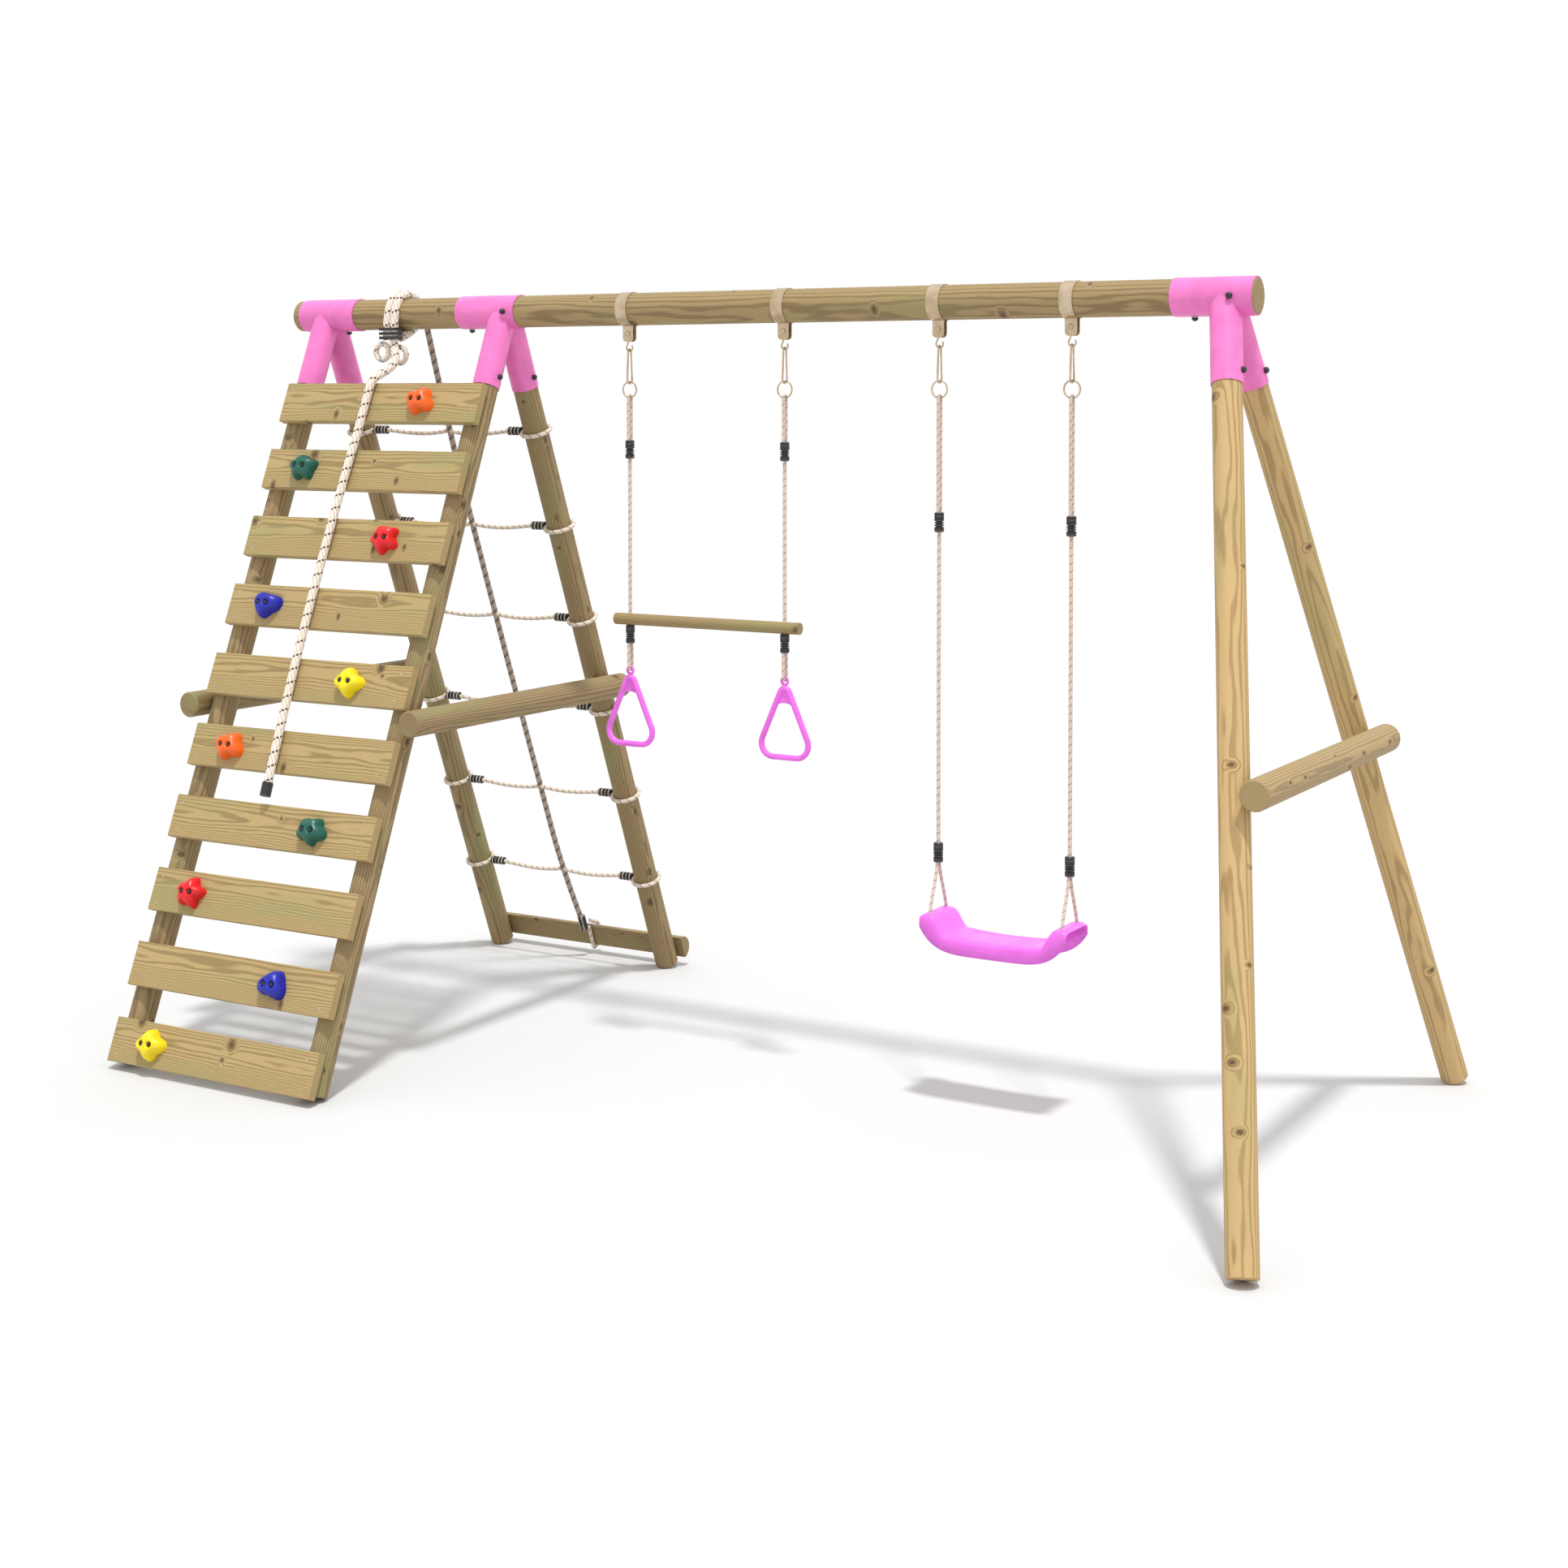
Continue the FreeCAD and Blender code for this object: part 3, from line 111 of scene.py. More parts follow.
@dataclass
class Surface:
    """Vertices, faces and optional UVs of one piece, before it is an object."""

    points: np.ndarray
    faces: np.ndarray
    uvs: Optional[np.ndarray] = None

    def joined(self, other: "Surface") -> "Surface":
        """Both surfaces as one."""
        uvs = None
        if self.uvs is not None and other.uvs is not None:
            uvs = np.concatenate([self.uvs, other.uvs])
        faces = np.concatenate([self.faces, other.faces + len(self.points)])
        return Surface(np.concatenate([self.points, other.points]), faces, uvs)

    def placed(self, origin: np.ndarray, basis: np.ndarray) -> "Surface":
        """The surface with its local axes laid along the rows of basis."""
        return Surface(self.points @ basis + origin, self.faces, self.uvs)

    def build(self, name: str, material: bpy.types.Material) -> bpy.types.Object:
        """Put the arrays into a mesh object with smooth faces.

        Args:
            name: the piece's name.
            material: its finish.

        Returns:
            The object, at the origin and untransformed.
        """
        mesh = bpy.data.meshes.new(name)
        mesh.vertices.add(len(self.points))
        mesh.vertices.foreach_set("co", self.points.astype(np.float32).ravel())
        corners = self.faces.shape[1]
        mesh.loops.add(self.faces.size)
        mesh.loops.foreach_set("vertex_index", self.faces.astype(np.int32).ravel())
        mesh.polygons.add(len(self.faces))
        starts = np.arange(0, self.faces.size, corners, dtype=np.int32)
        mesh.polygons.foreach_set("loop_start", starts)
        mesh.polygons.foreach_set("use_smooth", np.ones(len(self.faces), dtype=bool))
        mesh.update(calc_edges=True)
        if self.uvs is not None:
            layer = mesh.uv_layers.new(name="along")
            layer.data.foreach_set("uv", self.uvs.astype(np.float32).ravel())
        mesh.validate()
        mesh.materials.append(material)
        piece = bpy.data.objects.new(name, mesh)
        bpy.context.scene.collection.objects.link(piece)
        return piece


def joined_surfaces(surfaces: Iterable[Surface]) -> Surface:
    """Several surfaces as one."""
    surfaces = list(surfaces)
    result = surfaces[0]
    for surface in surfaces[1:]:
        result = result.joined(surface)
    return result


def grid_faces(rows: int, columns: int, wrap: bool) -> np.ndarray:
    """Quads of a grid.

    Args:
        rows: points from end to end.
        columns: points across.
        wrap: whether the last column joins the first.

    Returns:
        Four point numbers for each quad.
    """
    row = np.arange(rows - 1)[:, None]
    column = np.arange(columns if wrap else columns - 1)[None, :]
    following = (column + 1) % columns
    corners = [row * columns + column, row * columns + following,
               (row + 1) * columns + following, (row + 1) * columns + column]
    return np.stack([np.broadcast_to(c, (rows - 1, column.size)) for c in corners],
                    axis=-1).reshape(-1, 4)


def resampled(path: np.ndarray, step: float) -> np.ndarray:
    """Points evenly spaced along a polyline.

    Args:
        path: the polyline.
        step: the longest distance between the new points.

    Returns:
        The new points, from end to end.
    """
    lengths = np.linalg.norm(np.diff(path, axis=0), axis=1)
    distance = np.concatenate([[0], np.cumsum(lengths)])
    count = max(int(distance[-1] / step), 2) + 1
    wanted = np.linspace(0, distance[-1], count)
    return np.stack([np.interp(wanted, distance, path[:, axis]) for axis in range(3)], axis=1)


def spline_path(points: Sequence[np.ndarray]) -> np.ndarray:
    """Smooth line of a NURBS spline with these control points.

    Args:
        points: the route, as control points.

    Returns:
        Points along the evaluated curve.
    """
    curve = bpy.data.curves.new("route", "CURVE")
    curve.dimensions = "3D"
    curve.resolution_u = 24
    spline = curve.splines.new("NURBS")
    spline.points.add(len(points) - 1)
    flat = np.array([[*point, 1.0] for point in points]).ravel()
    spline.points.foreach_set("co", flat)
    spline.order_u = 3
    spline.use_endpoint_u = True
    holder = bpy.data.objects.new("route", curve)
    bpy.context.scene.collection.objects.link(holder)
    bpy.context.view_layer.update()
    mesh = bpy.data.meshes.new_from_object(holder.evaluated_get(
        bpy.context.evaluated_depsgraph_get()))
    line = np.zeros(len(mesh.vertices) * 3)
    mesh.vertices.foreach_get("co", line)
    bpy.data.objects.remove(holder)
    bpy.data.curves.remove(curve)
    bpy.data.meshes.remove(mesh)
    return line.reshape(-1, 3)


def with_corners(points: Sequence[np.ndarray], reach: float) -> List[np.ndarray]:
    """Route with two more control points beside each corner, to keep its turns short.

    Args:
        points: corners of the route.
        reach: how far from a corner the turn may start.

    Returns:
        The longer list of control points.
    """
    route = [points[0]]
    for before, corner, after in zip(points, points[1:], points[2:]):
        start, end = (corner + (other - corner) / np.linalg.norm(other - corner) * reach
                      for other in (before, after))
        route += [start, corner, end]
    return route + [points[-1]]


@dataclass
class Rope:
    """Braided rope: a tube whose radius swells over each strand of the braid.

    Sizes in metres.  At angle a round the rope and distance d along it the
    radius is R (1 - relief + relief |sin(n (a + 2 pi d / pitch) / 2)|), which
    gives n rounded strands wound at the pitch.
    """

    diameter: float
    strands: int = 6
    pitch: float = 0.09
    relief: float = 0.09
    around: int = 24

    def surface(self, path: np.ndarray, reference: Sequence[float],
                closed: bool = False) -> Surface:
        """Tube along a path.

        Args:
            path: points along the rope's middle.
            reference: a direction never along the path, which fixes angle zero.
            closed: whether the path returns to its start.

        Returns:
            The rope's surface, with closed ends and UVs (turn, metres along).
        """
        path = resampled(path, self.diameter / 5)
        tangent = np.gradient(path, axis=0)
        if closed:
            tangent[0] = tangent[-1] = path[1] - path[-2]
        tangent /= np.linalg.norm(tangent, axis=1, keepdims=True)
        side = np.cross(tangent, np.array(reference, float))
        side /= np.linalg.norm(side, axis=1, keepdims=True)
        third = np.cross(tangent, side)
        steps = np.linalg.norm(np.diff(path, axis=0), axis=1)
        along = np.concatenate([[0], np.cumsum(steps)])
        angle = np.linspace(0, 2 * np.pi, self.around, endpoint=False)
        wave = np.abs(np.sin(self.strands * (angle + 2 * np.pi * along[:, None] / self.pitch) / 2))
        radius = self.diameter / 2 * (1 - self.relief + self.relief * wave)
        ring = (np.cos(angle)[None, :, None] * side[:, None, :]
                + np.sin(angle)[None, :, None] * third[:, None, :])
        points = path[:, None, :] + radius[..., None] * ring
        rows, columns = radius.shape
        faces = grid_faces(rows, columns, wrap=True)
        turn = np.arange(self.around) / self.around
        column = np.tile(np.arange(columns), rows - 1)
        row = np.repeat(np.arange(rows - 1), columns)
        u_low, u_high = turn[column], turn[column] + 1 / self.around
        uvs = np.stack([np.stack([u_low, along[row]], 1), np.stack([u_high, along[row]], 1),
                        np.stack([u_high, along[row + 1]], 1),
                        np.stack([u_low, along[row + 1]], 1)], axis=1)
        result = Surface(points.reshape(-1, 3), faces, uvs.reshape(-1, 2))
        return result if closed else result.joined(self.end_caps(path, points))

    def end_caps(self, path: np.ndarray, points: np.ndarray) -> Surface:
        """Flat quads from each end ring to the rope's middle."""
        count = self.around
        vertices = np.concatenate([points[0], path[:1], points[-1], path[-1:]])
        edge = np.arange(0, count, 2)
        first = np.stack([edge, np.full_like(edge, count), (edge + 2) % count,
                          (edge + 1) % count], axis=1)
        last = first[:, ::-1] + count + 1
        faces = np.concatenate([first, last])
        return Surface(vertices, faces, np.zeros((faces.size, 2)))


def circle_path(centre: np.ndarray, radius: float, first: Sequence[float],
                second: Sequence[float], steps: int = 64) -> np.ndarray:
    """Closed circle in the plane of two unit directions."""
    angle = np.linspace(0, 2 * np.pi, steps + 1)[:, None]
    return centre + radius * (np.cos(angle) * np.array(first) + np.sin(angle) * np.array(second))


# Finishes

class Nodes:
    """Short way to write a material's node tree."""

    def __init__(self, name: str) -> None:
        """Start a material with a Principled shader.

        Args:
            name: the material's name.
        """
        self.material = bpy.data.materials.new(name)
        self.material.use_nodes = True
        self.tree = self.material.node_tree
        self.shader = self.tree.nodes["Principled BSDF"]

    def link(self, source: Socket, target: Socket) -> None:
        """Join two sockets."""
        self.tree.links.new(source, target)

    def feed(self, value: object, target: Socket) -> None:
        """Give a socket a constant or another node's output."""
        if isinstance(value, Socket):
            self.link(value, target)
        else:
            target.default_value = value

    def object_space(self, centre: Sequence[float], basis: Optional[Matrix] = None,
                     scale: Point = (1, 1, 1)) -> Socket:
        """Object coordinates about a centre, turned so that X runs along a piece."""
        source = self.tree.nodes.new("ShaderNodeTexCoord")
        mapping = self.tree.nodes.new("ShaderNodeMapping")
        mapping.vector_type = "TEXTURE"
        mapping.inputs["Location"].default_value = tuple(centre)
        if basis is not None:
            mapping.inputs["Rotation"].default_value = tuple(basis.to_euler())
        mapping.inputs["Scale"].default_value = scale
        self.link(source.outputs["Object"], mapping.inputs["Vector"])
        return mapping.outputs["Vector"]

    def uv(self) -> Tuple[Socket, Socket]:
        """The two coordinates of the piece's own UV map."""
        source = self.tree.nodes.new("ShaderNodeUVMap")
        source.uv_map = "along"
        parts = self.split(source.outputs["UV"])
        return parts[0], parts[1]

    def math(self, operation: str, first: object, second: object = 0.0) -> Socket:
        """One Math node."""
        node = self.tree.nodes.new("ShaderNodeMath")
        node.operation = operation
        self.feed(first, node.inputs[0])
        self.feed(second, node.inputs[1])
        return node.outputs[0]

    def split(self, vector: Socket) -> bpy.types.bpy_prop_collection:
        """The three parts of a vector."""
        node = self.tree.nodes.new("ShaderNodeSeparateXYZ")
        self.link(vector, node.inputs[0])
        return node.outputs

    def vector(self, operation: str, source: Socket, constant: Point
               ) -> Socket:
        """One Vector Math node with a constant second vector."""
        node = self.tree.nodes.new("ShaderNodeVectorMath")
        node.operation = operation
        self.link(source, node.inputs[0])
        node.inputs[1].default_value = constant
        return node.outputs[0]

    def noise(self, vector: Socket, scale: float, detail: float = 4.0,
              roughness: float = 0.55) -> Socket:
        """Noise between 0 and 1."""
        node = self.tree.nodes.new("ShaderNodeTexNoise")
        node.inputs["Scale"].default_value = scale
        node.inputs["Detail"].default_value = detail
        node.inputs["Roughness"].default_value = roughness
        self.link(vector, node.inputs["Vector"])
        return node.outputs["Fac"]

    def span(self, value: Socket, low: float, high: float,
             to_low: float = 0.0, to_high: float = 1.0) -> Socket:
        """Clamp a value to a span and stretch it smoothly to another."""
        node = self.tree.nodes.new("ShaderNodeMapRange")
        node.interpolation_type = "SMOOTHSTEP"
        for index, number in enumerate((low, high, to_low, to_high), start=1):
            node.inputs[index].default_value = number
        self.link(value, node.inputs[0])
        return node.outputs[0]

    def mix(self, share: object, first: object, second: object,
            blend: str = "MIX") -> Socket:
        """Mix two colours."""
        node = self.tree.nodes.new("ShaderNodeMix")
        node.data_type = "RGBA"
        node.blend_type = blend
        self.feed(share, node.inputs[0])
        for value, target in ((first, node.inputs[6]), (second, node.inputs[7])):
            self.feed((*value, 1.0) if isinstance(value, tuple) else value, target)
        return node.outputs[2]

    def shifted(self, vector: Socket, noise: Socket,
                strength: Point) -> Socket:
        """Vector moved by a centred noise, by its own strength along each axis."""
        offset = self.math("SUBTRACT", noise, 0.5)
        scale = self.tree.nodes.new("ShaderNodeVectorMath")
        scale.operation = "SCALE"
        scale.inputs[0].default_value = strength
        self.link(offset, scale.inputs["Scale"])
        add = self.tree.nodes.new("ShaderNodeVectorMath")
        self.link(vector, add.inputs[0])
        self.link(scale.outputs[0], add.inputs[1])
        return add.outputs[0]

    def bump(self, height: Socket, distance: float, strength: float = 1.0) -> None:
        """Feed a height to the shader's normal."""
        node = self.tree.nodes.new("ShaderNodeBump")
        node.inputs["Distance"].default_value = distance
        node.inputs["Strength"].default_value = strength
        self.link(height, node.inputs["Height"])
        self.link(node.outputs[0], self.shader.inputs["Normal"])

    def finish(self, colour: object, roughness: object, **constants: float
               ) -> bpy.types.Material:
        """Set the shader's colour, roughness and constants, and return the material."""
        self.feed((*colour, 1.0) if isinstance(colour, tuple) else colour,
                  self.shader.inputs["Base Color"])
        self.feed(roughness, self.shader.inputs["Roughness"])
        for name, value in constants.items():
            label = "IOR" if name == "ior" else name.replace("_", " ").title()
            self.shader.inputs[label].default_value = value
        return self.material


@dataclass(frozen=True)
class Timber:
    """Softwood with growth rings about an off-centre pith, knots and a green tint."""

    light: Colour
    dark: Colour
    green: Colour = (0.24, 0.27, 0.10)
    knot: Colour = (0.10, 0.055, 0.03)
    ring_spacing: float = 0.0048
    pith: float = 0.022
    greenness: float = 0.5
    knot_size: float = 0.0085
    knot_cells: float = 8.0
    knot_share: float = 0.42
    knot_reach: float = 0.045
    stretch: float = 0.16

    def material(self, name: str, centre: Sequence[float], direction: Vector,
                 seed: int, roll: Optional[float] = None) -> bpy.types.Material:
        """Timber whose grain runs along a direction.

        Args:
            name: the material's name.
            centre: a point on the piece's axis.
            direction: the direction of the grain.
            seed: picks this piece's own figure.
            roll: turn of the pith about the grain in radians, or None for any.

        Returns:
            The material.
        """
        nodes = Nodes(name)
        turn = direction.to_track_quat("X", "Z").to_matrix()
        spin = Matrix.Rotation(seed * 1.7 if roll is None else roll, 3, "X")
        space = nodes.object_space(centre, turn @ spin)
        place = nodes.vector("ADD", space, (seed * 3.17, self.pith, self.pith * 0.4))
        slender = nodes.vector("MULTIPLY", place, (self.stretch, 1.0, 1.0))
        near = self.knot_distance(nodes, place)
        figure = self.figure(nodes, slender, near)
        colour = nodes.mix(figure, self.light, self.dark)
        patches = nodes.span(nodes.noise(slender, 11.0, 3.0), 0.48, 0.72)
        tint = nodes.math("MULTIPLY", patches, self.greenness)
        colour = nodes.mix(tint, colour, self.green)
        halo = nodes.span(near, self.knot_size, self.knot_size * 2.2, 0.6, 0.0)
        colour = nodes.mix(halo, colour, self.dark, "MULTIPLY")
        core = nodes.span(near, self.knot_size * 0.55, self.knot_size, 0.92, 0.0)
        colour = nodes.mix(core, colour, self.knot)
        nodes.bump(figure, 0.0008, 0.6)
        roughness = nodes.span(figure, 0.0, 1.0, 0.72, 0.55)
        return nodes.finish(colour, roughness, ior=1.45)

    def knot_distance(self, nodes: Nodes, place: Socket) -> Socket:
        """Metres to the nearest knot, over one metre in cells that have none.

        Args:
            nodes: the material being made.
            place: coordinates about the pith, X along the grain.

        Returns:
            The distance, measured along the grain and round the pith.
        """
        parts = nodes.split(place)
        angle = nodes.math("ARCTAN2", parts[1], parts[2])
        flat = nodes.tree.nodes.new("ShaderNodeCombineXYZ")
        nodes.link(parts[0], flat.inputs[0])
        nodes.link(nodes.math("MULTIPLY", angle, self.knot_reach), flat.inputs[1])
        knots = nodes.tree.nodes.new("ShaderNodeTexVoronoi")
        knots.voronoi_dimensions = "2D"
        knots.inputs["Scale"].default_value = self.knot_cells
        nodes.link(flat.outputs[0], knots.inputs["Vector"])
        lot = nodes.tree.nodes.new("ShaderNodeSeparateColor")
        nodes.link(knots.outputs["Color"], lot.inputs[0])
        missing = nodes.math("GREATER_THAN", lot.outputs[0], self.knot_share)
        size = nodes.span(lot.outputs[1], 0.0, 1.0, 0.8, 2.2)
        reach = nodes.math("DIVIDE", knots.outputs["Distance"], self.knot_cells)
        return nodes.math("ADD", nodes.math("MULTIPLY", reach, size), missing)

    def figure(self, nodes: Nodes, slender: Socket,
               near: Socket) -> Socket:
        """Growth rings about the pith, bent by noise and swollen at the knots.

        Args:
            nodes: the material being made.
            slender: coordinates about the pith, shortened along the grain.
            near: distance to the nearest knot.

        Returns:
            Darkness of the wood between 0 and 1, with fine streaks mixed in.
        """
        wander = nodes.noise(slender, 9.0, 3.0)
        swell = nodes.span(near, 0.0, 0.032, 0.009, 0.0)
        parts = nodes.split(nodes.shifted(slender, wander, (0.0, 0.026, 0.022)))
        squares = nodes.math("ADD", nodes.math("POWER", parts[1], 2.0),
                             nodes.math("POWER", parts[2], 2.0))
        radius = nodes.math("ADD", nodes.math("SQRT", squares), swell)
        phase = nodes.math("MULTIPLY", radius, 2 * math.pi / self.ring_spacing)
        ring = nodes.math("MULTIPLY_ADD", nodes.math("SINE", phase), 0.5)
        ring.node.inputs[2].default_value = 0.5
        latewood = nodes.span(ring, 0.42, 0.98)
        fine = nodes.noise(slender, 260.0, 2.0)
        return nodes.math("ADD", nodes.math("MULTIPLY", latewood, 0.65),
                          nodes.math("MULTIPLY", fine, 0.35))


@dataclass(frozen=True)
class Moulded:
    """Coloured moulded plastic or powder coat with a faint orange-peel skin."""

    colour: Colour
    roughness: float = 0.32
    grain: float = 900.0
    relief: float = 0.00012
    coat: float = 0.15

    def material(self, name: str) -> bpy.types.Material:
        """The finish as a material."""
        nodes = Nodes(name)
        space = nodes.object_space((0, 0, 0))
        skin = nodes.noise(space, self.grain, 2.0)
        cloud = nodes.noise(space, 14.0, 3.0)
        deep = tuple(channel * 0.86 for channel in self.colour)
        colour = nodes.mix(nodes.span(cloud, 0.35, 0.7), self.colour, deep)
        rough = nodes.span(cloud, 0.3, 0.7, self.roughness - 0.04, self.roughness + 0.06)
        nodes.bump(skin, self.relief, 0.5)
        return nodes.finish(colour, rough, coat_weight=self.coat, coat_roughness=0.2)


@dataclass(frozen=True)
class Passivated:
    """Zinc-plated steel with a yellow passivated film."""

    colour: Colour = (0.50, 0.375, 0.235)

    def material(self, name: str) -> bpy.types.Material:
        """The finish as a material."""
        nodes = Nodes(name)
        space = nodes.object_space((0, 0, 0))
        film = nodes.noise(space, 22.0, 3.0)
        scratch = nodes.noise(nodes.object_space((0, 0, 0), None, (1.0, 1.0, 0.08)), 900.0, 2.0)
        pale = (0.60, 0.49, 0.355)
        colour = nodes.mix(nodes.span(film, 0.35, 0.65), self.colour, pale)
        nodes.bump(scratch, 0.00008, 0.5)
        return nodes.finish(colour, nodes.span(scratch, 0.3, 0.7, 0.26, 0.4), metallic=0.85)


@dataclass(frozen=True)
class Braid:
    """Braided cord: cream yarn with a dark tracer yarn that shows as slanting dashes."""

    base: Colour
    fleck: Colour
    strands: int = 6
    pitch: float = 0.09
    tracer_pitch: float = 0.045
    fleck_share: float = 0.45
    fleck_width: float = 0.105

    def material(self, name: str) -> bpy.types.Material:
        """The finish as a material, reading turn and metres from the UV map."""
        nodes = Nodes(name)
        turn, metres = nodes.uv()
        wound = nodes.math("ADD", turn, nodes.math("DIVIDE", metres, self.pitch))
        lay = nodes.math("MULTIPLY", wound, math.pi * self.strands)
        strand = nodes.math("ABSOLUTE", nodes.math("SINE", lay))
        counter = nodes.math("SUBTRACT", turn, nodes.math("DIVIDE", metres, self.pitch))
        crossing = nodes.math("SINE", nodes.math("MULTIPLY", counter, math.pi * self.strands * 2))
        tracer = nodes.math("FRACT", nodes.math(
            "SUBTRACT", nodes.math("DIVIDE", metres, self.tracer_pitch), turn))
        band = nodes.span(nodes.math("ABSOLUTE", nodes.math("SUBTRACT", tracer, 0.5)),
                          self.fleck_width * 0.6, self.fleck_width, 1.0, 0.0)
        dash = nodes.span(nodes.math("SINE", nodes.math("MULTIPLY", lay, 2.0)),
                          -self.fleck_share - 0.3, -self.fleck_share + 0.1)
        dark = nodes.math("MULTIPLY", band, dash)
        # Painted shade: the yarn darkens to 0.55 of its colour in the grooves between strands.
        painted_groove_shade = nodes.mix(nodes.span(strand, 0.0, 0.5), tuple(c * 0.55 for c in self.base),
                           self.base)
        colour = nodes.mix(dark, painted_groove_shade, self.fleck)
        height = nodes.math("ADD", strand, nodes.math("MULTIPLY", crossing, 0.25))
        nodes.bump(height, 0.0015, 0.7)
        return nodes.finish(colour, 0.78, sheen_weight=0.25, sheen_roughness=0.5)


POLE_WOOD = Timber(light=(0.33, 0.235, 0.110), dark=(0.155, 0.098, 0.040))
BOARD_WOOD = Timber(light=(0.46, 0.335, 0.145), dark=(0.235, 0.155, 0.058),
                    ring_spacing=0.0042, pith=0.055, greenness=0.4,
                    knot_reach=0.070)
# Painted shade: a darker copy of the pale wood for the beam and the trapeze bar.
SHADED_WOOD = Timber(light=(0.36, 0.26, 0.118), dark=(0.185, 0.12, 0.048), greenness=0.35)
PALE_WOOD = Timber(light=(0.57, 0.39, 0.175), dark=(0.31, 0.19, 0.070), greenness=0.35)
# Painted shade: a darker copy of the pale wood for the right brace.
SHADED_BRACE_WOOD = Timber(light=(0.43, 0.305, 0.145), dark=(0.23, 0.15, 0.062), greenness=0.35)
@dataclass(frozen=True)
class RibbedClip:
    """Black plastic coil clip whose ribs cross the rope, with paler gaps between them."""

    axis: int
    spacing: float = 0.014
    gap: Colour = (0.05, 0.045, 0.04)

    def material(self, name: str) -> bpy.types.Material:
        """The finish as a material, with ribs counted along one object axis."""
        nodes = Nodes(name)
        space = nodes.object_space((0, 0, 0))
        count = nodes.math("DIVIDE", nodes.split(space)[self.axis], self.spacing)
        wave = nodes.math("SINE", nodes.math("MULTIPLY", count, 2 * math.pi))
        rib = nodes.span(wave, -0.75, -0.35)
        skin = nodes.noise(space, 700.0, 2.0)
        colour = nodes.mix(rib, self.gap, (0.012, 0.012, 0.014))
        nodes.bump(rib, 0.002, 0.8)
        return nodes.finish(colour, nodes.span(skin, 0.3, 0.7, 0.38, 0.5))


PINK_STEEL = Moulded(colour=(0.80, 0.175, 0.50), roughness=0.42, grain=500.0, coat=0.1)
PINK_PLASTIC = Moulded(colour=(0.80, 0.145, 0.74), roughness=0.36, coat=0.05)
BLACK_PLASTIC = Moulded(colour=(0.012, 0.012, 0.014), roughness=0.42)
HOLD_COLOURS = {
    "hold_orange": (0.88, 0.12, 0.006),
    "hold_green": (0.004, 0.10, 0.068),
    "hold_red": (0.70, 0.003, 0.008),
    "hold_blue": (0.004, 0.010, 0.34),
    "hold_yellow": (0.88, 0.70, 0.0),
}
CREAM = (0.80, 0.70, 0.60)
CLIMBING_BRAID = Braid(CREAM, (0.11, 0.04, 0.025), pitch=0.16, tracer_pitch=0.044)
NET_BRAID = Braid((0.78, 0.68, 0.56), (0.12, 0.05, 0.03), pitch=0.075, tracer_pitch=0.026)
GREY_BRAID = Braid((0.42, 0.34, 0.28), (0.06, 0.035, 0.025), pitch=0.10,
                   tracer_pitch=0.034, fleck_width=0.20)
SWING_BRAID = Braid((0.74, 0.60, 0.50), (0.30, 0.15, 0.11), pitch=0.07, tracer_pitch=0.022)


class Finishes:
    """The shared materials, and the dressing of modelled pieces."""

    def __init__(self) -> None:
        """Make the shared materials once."""
        self.pink_steel = PINK_STEEL.material("pink_powder_coat")
        self.pink_plastic = PINK_PLASTIC.material("pink_moulding")
        self.black = BLACK_PLASTIC.material("black_moulding")
        self.net_clip = RibbedClip(axis=0, gap=(0.50, 0.44, 0.37)).material("net_clip_coil")
        self.line_clip = RibbedClip(axis=2).material("line_clip_coil")
        self.gold = Passivated().material("passivated_steel")
        self.climbing = CLIMBING_BRAID.material("climbing_braid")
        self.net = NET_BRAID.material("net_braid")
        self.grey = GREY_BRAID.material("centre_braid")
        self.swing = SWING_BRAID.material("swing_braid")

    @staticmethod
    def dress(node: str, material: bpy.types.Material) -> None:
        """Give a modelled piece a finish."""
        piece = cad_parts[node]
        piece.data.materials.clear()
        piece.data.materials.append(material)
        log.info("dressed %s", node)


# Sub-assemblies

